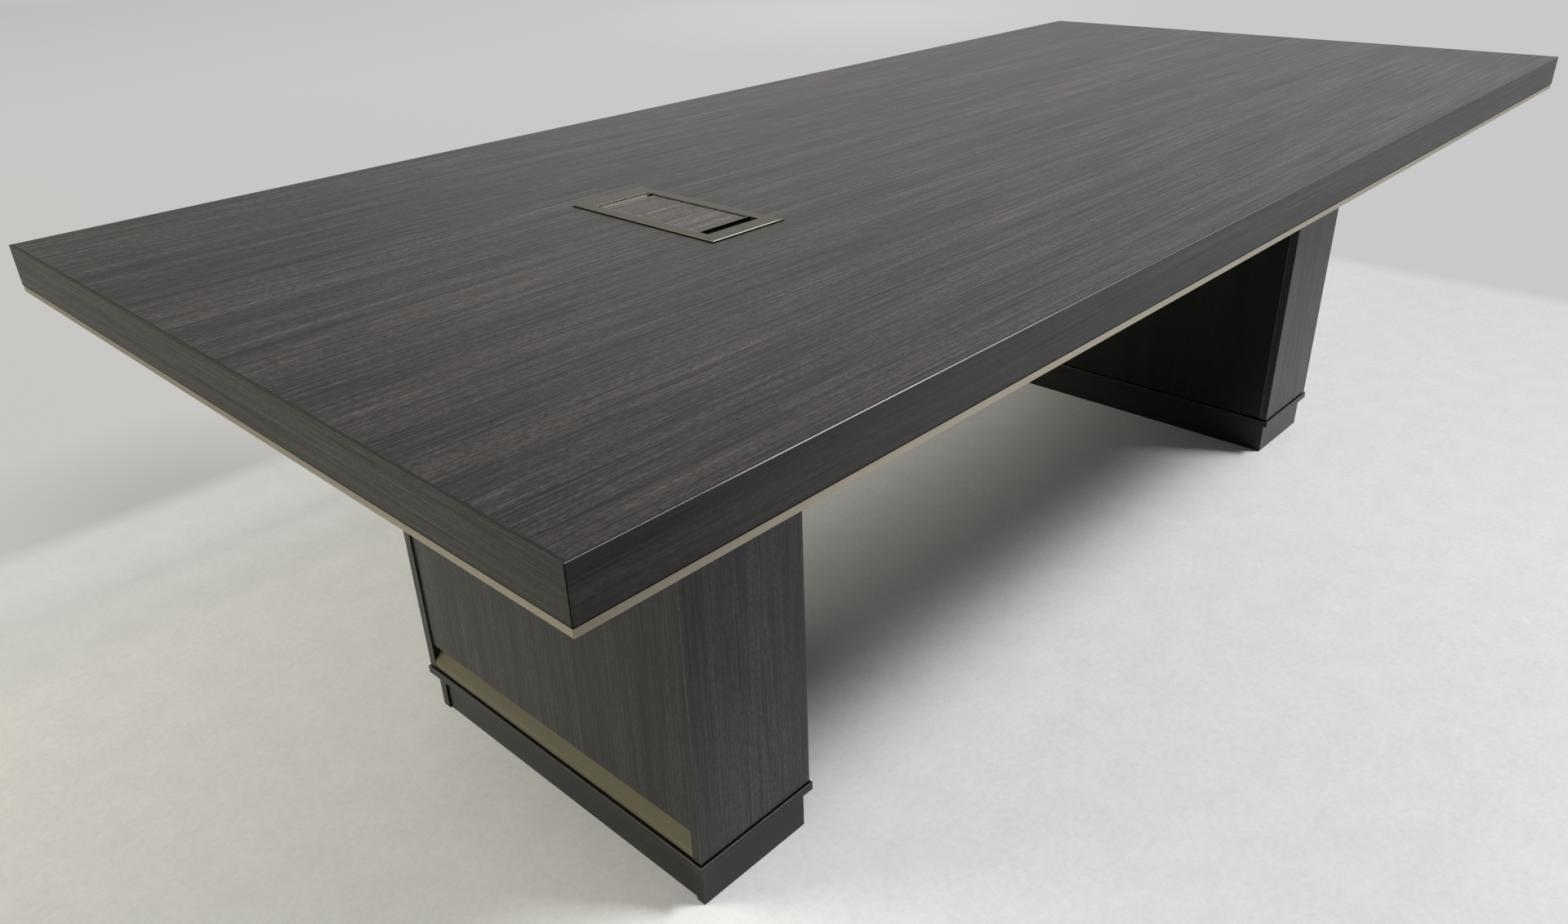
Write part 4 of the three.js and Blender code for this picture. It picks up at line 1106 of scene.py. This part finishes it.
barrel = add_bar("barrel", 0, hinge, BARREL_RADIUS, tray_high.x - tray_low.x)
combine(tray, barrel, "UNION")
combine(tray, add_bar("bore", 0, hinge, BARREL_BORE, 2 * (tray_high.x - tray_low.x)), "DIFFERENCE")
corner = Vector((hinge.x, recess_high.y, hinge.z))
combine(tray, add_block("notch", corner + NOTCH_LOW, corner + NOTCH_HIGH), "DIFFERENCE")
fit(tray, LID_METAL, "champagne_metal", "lid", "lid_tray")
# Painted shade: the lid's back, ends and sides under the top are black, keeping the slot dark.
touch(tray, shade_black, lambda at, facing: facing.z < 0.2 and at.y < hinge.y - BARREL_RADIUS)
# Painted highlight: the arris at the inlay's hinge end takes the paler land metal.
touch(
    tray, land_highlight_metal,
    lambda at, facing: facing.y < -0.25 and facing.z > 0.1 and abs(at.y - recess_high.y) < 2 * LAND_ARRIS,
)

low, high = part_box("lid_inlay")
inlay = add_block("lid_veneer", low, high - INLAY_SINK * Z)
ease(inlay, INLAY_ARRIS, lambda a, b: True, steps=2)
fit(inlay, INLAY_VENEER, "dark_wood", "lid", "lid_inlay")

low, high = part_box("hinge_pin")
pin_radius = (high.z - low.z) / 2
pin_length = high.x - low.x
PIN_CHAMFER = 0.0004
pin = turn_piece(
    "lid_pin", Vector((low.x, hinge.y, hinge.z)), X,
    [
        (0, pin_radius - PIN_CHAMFER), (PIN_CHAMFER, pin_radius),
        (pin_length - PIN_CHAMFER, pin_radius), (pin_length, pin_radius - PIN_CHAMFER),
    ],
)
fit(pin, zinc_plate, "bright_steel", "table", "hinge_pin")


# Housing
# A box folded from steel sheet and powder-coated black, open at the top, that hangs in the cut-out. The
# wall at the hinge end has a hole for the power inlet, and both ends take a clamp screw.
HOUSING_WALL = 0.0015
HOUSING_BEND = 0.0018
INLET_BODY = Vector((0.028, 0, 0.0175))
INLET_PLAY = 0.0003
CLAMP_SCREW_DROP = 0.022
CLAMP_HOLE_RADIUS = 0.00215

low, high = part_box("box_housing")
inlet_low, inlet_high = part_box("power_inlet")
inlet = (inlet_low + inlet_high) / 2
hole_low = inlet - INLET_BODY / 2 - INLET_PLAY * (X + Z)
hole_high = inlet + INLET_BODY / 2 + INLET_PLAY * (X + Z)
clamp_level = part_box("top_panel")[0].z - CLAMP_SCREW_DROP
housing = add_block("folded_housing", low, high)
remove_faces(housing, lambda at, facing: facing.z > 0.9)
ease(housing, HOUSING_BEND, lambda a, b: min(a.z, b.z) < high.z - TINY)
saw(housing, 0, hole_low.x, hole_high.x)
saw(housing, 2, hole_low.z, hole_high.z)
remove_faces(
    housing,
    lambda at, facing: facing.y > 0.9 and hole_low.x < at.x < hole_high.x and hole_low.z < at.z < hole_high.z,
)
thicken(housing, HOUSING_WALL, towards_face=False)
middle = Vector((hinge.x, 0, clamp_level))
combine(housing, add_bar("screw_holes", 1, middle, CLAMP_HOLE_RADIUS, 1), "DIFFERENCE")
fit(housing, powder_coat, "black_steel", "table", "box_housing")


# Socket plate
# A shallow trough of the same coated sheet on the floor of the housing, folded down along both sides and
# punched with a square hole for each socket.
SOCKET_HOLE = 0.0416
PLATE_SHEET = 0.0015
PLATE_BEND = 0.0018
SOCKETS = ("power_socket_1", "power_socket_2", "data_socket")

low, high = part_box("socket_plate")
trough = add_sheet("punched_socket_plate", Vector((low.x, low.y, high.z)), high)
saw(trough, 0, hinge.x - SOCKET_HOLE / 2, hinge.x + SOCKET_HOLE / 2)
for node in SOCKETS:
    socket = sum(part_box(node), Vector()) / 2
    edges = Vector((SOCKET_HOLE, SOCKET_HOLE, 0)) / 2
    saw(trough, 1, socket.y - edges.y, socket.y + edges.y)
    remove_faces(trough, lambda at, facing: inside(at, socket - edges, socket + edges))
for side in (low.x, high.x):
    fold(trough, lambda a, b: close(a.x, side) and close(b.x, side), (low.z - high.z) * Z)
    ease(
        trough, PLATE_BEND,
        lambda a, b: all(close(at.x, side) and close(at.z, high.z) for at in (a, b)),
    )
thicken(trough, PLATE_SHEET, towards_face=False)
fit(trough, powder_coat, "black_steel", "table", "socket_plate")


# Sockets
# Black plastic modules moulded with a rounded flange and a sunk face, pushed into the plate from above:
# two for power, with flat slots and an earth hole, and one for data, with two jacks.
SOCKET_LIP = 0.002
SOCKET_SEAT = 0.0001
SOCKET_CORNER = 0.002
SOCKET_ARRIS = 0.0007
SOCKET_BORDER = 0.0035
SOCKET_SINK = 0.0008
CAVITY_DEPTH = 0.014
BLADE_SLOT = Vector((0.0024, 0.008, 0))
BLADE_SPREAD = 0.00635
BLADE_SHIFT = 0.004
EARTH_RADIUS = 0.0026
EARTH_SHIFT = -0.0079
JACK = Vector((0.012, 0.009, 0))
JACK_SPREAD = 0.009
LATCH = Vector((0.004, 0.003, 0))

moulded_plastic, tree, shader, place = new_material("moulded_plastic")
texture = noise(tree, place, (0.0008, 0.0008, 0.0008), detail=2)
plastic_tone = ramp(tree, texture, (0.3, (0.016, 0.016, 0.017, 1)), (0.7, (0.026, 0.026, 0.028, 1)))
tree.links.new(plastic_tone, shader.inputs["Base Color"])
tree.links.new(mapped(tree, texture, 0.3, 0.7, 0.45, 0.62), shader.inputs["Roughness"])


def add_module(name, node):
    """A blank socket module: flange, body below and sunk face. Returns it and the middle of its face."""
    low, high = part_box(node)
    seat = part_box("socket_plate")[1].z + SOCKET_SEAT
    module = add_block(name, Vector((low.x, low.y, seat)), high)
    ease(module, SOCKET_CORNER, lambda a, b: not close(a.z, b.z))
    ease(module, SOCKET_ARRIS, lambda a, b: close(a.z, high.z) and close(b.z, high.z))
    lip, border = SOCKET_LIP * (X + Y), SOCKET_BORDER * (X + Y)
    body_top = Vector((high.x, high.y, (seat + high.z) / 2)) - lip
    combine(module, add_block("body", low + lip, body_top), "UNION")
    sunk = Vector((low.x, low.y, high.z - SOCKET_SINK)) + border
    combine(module, add_block("face", sunk, high - border + Z), "DIFFERENCE")
    return module, Vector(((low.x + high.x) / 2, (low.y + high.y) / 2, high.z))


def hollow(piece, middle, size):
    """Cuts a square cavity of a size down from a place on a face."""
    half = size / 2
    cavity = add_block("cavity", middle - half - CAVITY_DEPTH * Z, middle + half + CAVITY_DEPTH * Z)
    combine(piece, cavity, "DIFFERENCE")


for node in ("power_socket_1", "power_socket_2"):
    module, face = add_module(f"{node}_module", node)
    for spread in (-BLADE_SPREAD, BLADE_SPREAD):
        hollow(module, face + spread * X + BLADE_SHIFT * Y, BLADE_SLOT)
    combine(module, add_bar("earth", 2, face + EARTH_SHIFT * Y, EARTH_RADIUS, 2 * CAVITY_DEPTH, 32), "DIFFERENCE")
    fit(module, moulded_plastic, "black_plastic", "table", node)

module, face = add_module("data_socket_module", "data_socket")
for spread in (-JACK_SPREAD, JACK_SPREAD):
    jack = face + spread * X
    hollow(module, jack, JACK)
    hollow(module, jack - (JACK.y + LATCH.y) / 2 * Y + TINY * Y, LATCH)
fit(module, moulded_plastic, "black_plastic", "table", "data_socket")


# Power inlet
# A plastic inlet pressed through the wall at the hinge end, for a lead from below: a rounded flange, a
# body inside and a well with three flat pins, two of its corners cut so that a plug goes in one way.
INLET_FLANGE = 0.002
INLET_CORNER = 0.003
INLET_WELL = Vector((0.024, 0.030, 0.014))
INLET_KEY = 0.004
PIN = Vector((0.002, 0.012, 0.004))
PIN_PLACES = (Vector((-0.007, 0, -0.001)), Vector((0.007, 0, -0.001)), Vector((0, 0, 0.0025)))

flange = add_block(
    "lead_inlet", Vector((inlet_low.x, inlet_high.y - INLET_FLANGE, inlet_low.z)), inlet_high
)
ease(flange, INLET_CORNER, lambda a, b: not close(a.y, b.y))
mouth = Vector((inlet.x, inlet_high.y, inlet.z))
body_low = Vector((inlet.x, inlet_low.y, inlet.z)) - INLET_BODY / 2
body_high = mouth + INLET_BODY / 2 - INLET_FLANGE / 2 * Y
combine(flange, add_block("inlet_body", body_low, body_high), "UNION")
well = add_block("well", mouth - INLET_WELL / 2, mouth + INLET_WELL / 2)
ease(well, INLET_KEY, lambda a, b: not close(a.y, b.y) and a.z > mouth.z, steps=1)
combine(flange, well, "DIFFERENCE")
fit(flange, moulded_plastic, "black_plastic", "table", "power_inlet")

for number, spot in enumerate(PIN_PLACES, 1):
    root = mouth + spot - INLET_WELL.y / 2 * Y
    prong = add_block(f"inlet_pin_{number}", root - PIN / 2 + PIN.y / 2 * Y, root + PIN / 2 + PIN.y / 2 * Y)
    ease(prong, 0.0005, lambda a, b: a.y > root.y + TINY and b.y > root.y + TINY, steps=2)
    fit(prong, zinc_plate, "bright_steel", "table")


# Clamps
# A zinc-plated angle of 2 mm steel bears under the top at each end of the housing, held to the wall by a
# pan-head machine screw with a cross recess.
CLAMP_SHEET = 0.002
CLAMP_BEND = 0.0022
CLAMP_CORNER = 0.003
CLAMP_SCREW = {"shank": 0.002, "head": 0.004, "head_height": 0.0025, "pitch": 0.0008, "thread": 0.0002}

for end, outwards in (("front", -1), ("back", 1)):
    node = f"clamp_bracket_{end}"
    low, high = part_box(node)
    wall = low.y if outwards > 0 else high.y
    tip = high.y if outwards > 0 else low.y
    angle = add_sheet(f"{end}_clamp_angle", Vector((low.x, low.y, high.z)), high)
    fold(angle, lambda a, b: close(a.y, wall) and close(b.y, wall), (low.z - high.z) * Z)
    ease(angle, CLAMP_BEND, lambda a, b: all(close(at.y, wall) and close(at.z, high.z) for at in (a, b)))
    thicken(angle, CLAMP_SHEET, towards_face=False)
    ease(angle, CLAMP_CORNER, lambda a, b: close(a.y, tip) and close(b.y, tip) and not close(a.z, b.z))
    bore = Vector((hinge.x, wall, clamp_level))
    combine(angle, add_bar("screw_hole", 1, bore, CLAMP_HOLE_RADIUS, 0.02, 32), "DIFFERENCE")
    fit(angle, zinc_plate, "bright_steel", "table", node)

    node = f"clamp_screw_{end}"
    low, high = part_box(node)
    seat = Vector((hinge.x, high.y if outwards > 0 else low.y, clamp_level))
    screw = add_screw(f"{end}_clamp_bolt", seat, -outwards * Y, high.y - low.y, CLAMP_SCREW)
    fit(screw, zinc_plate, "bright_steel", "table", node)
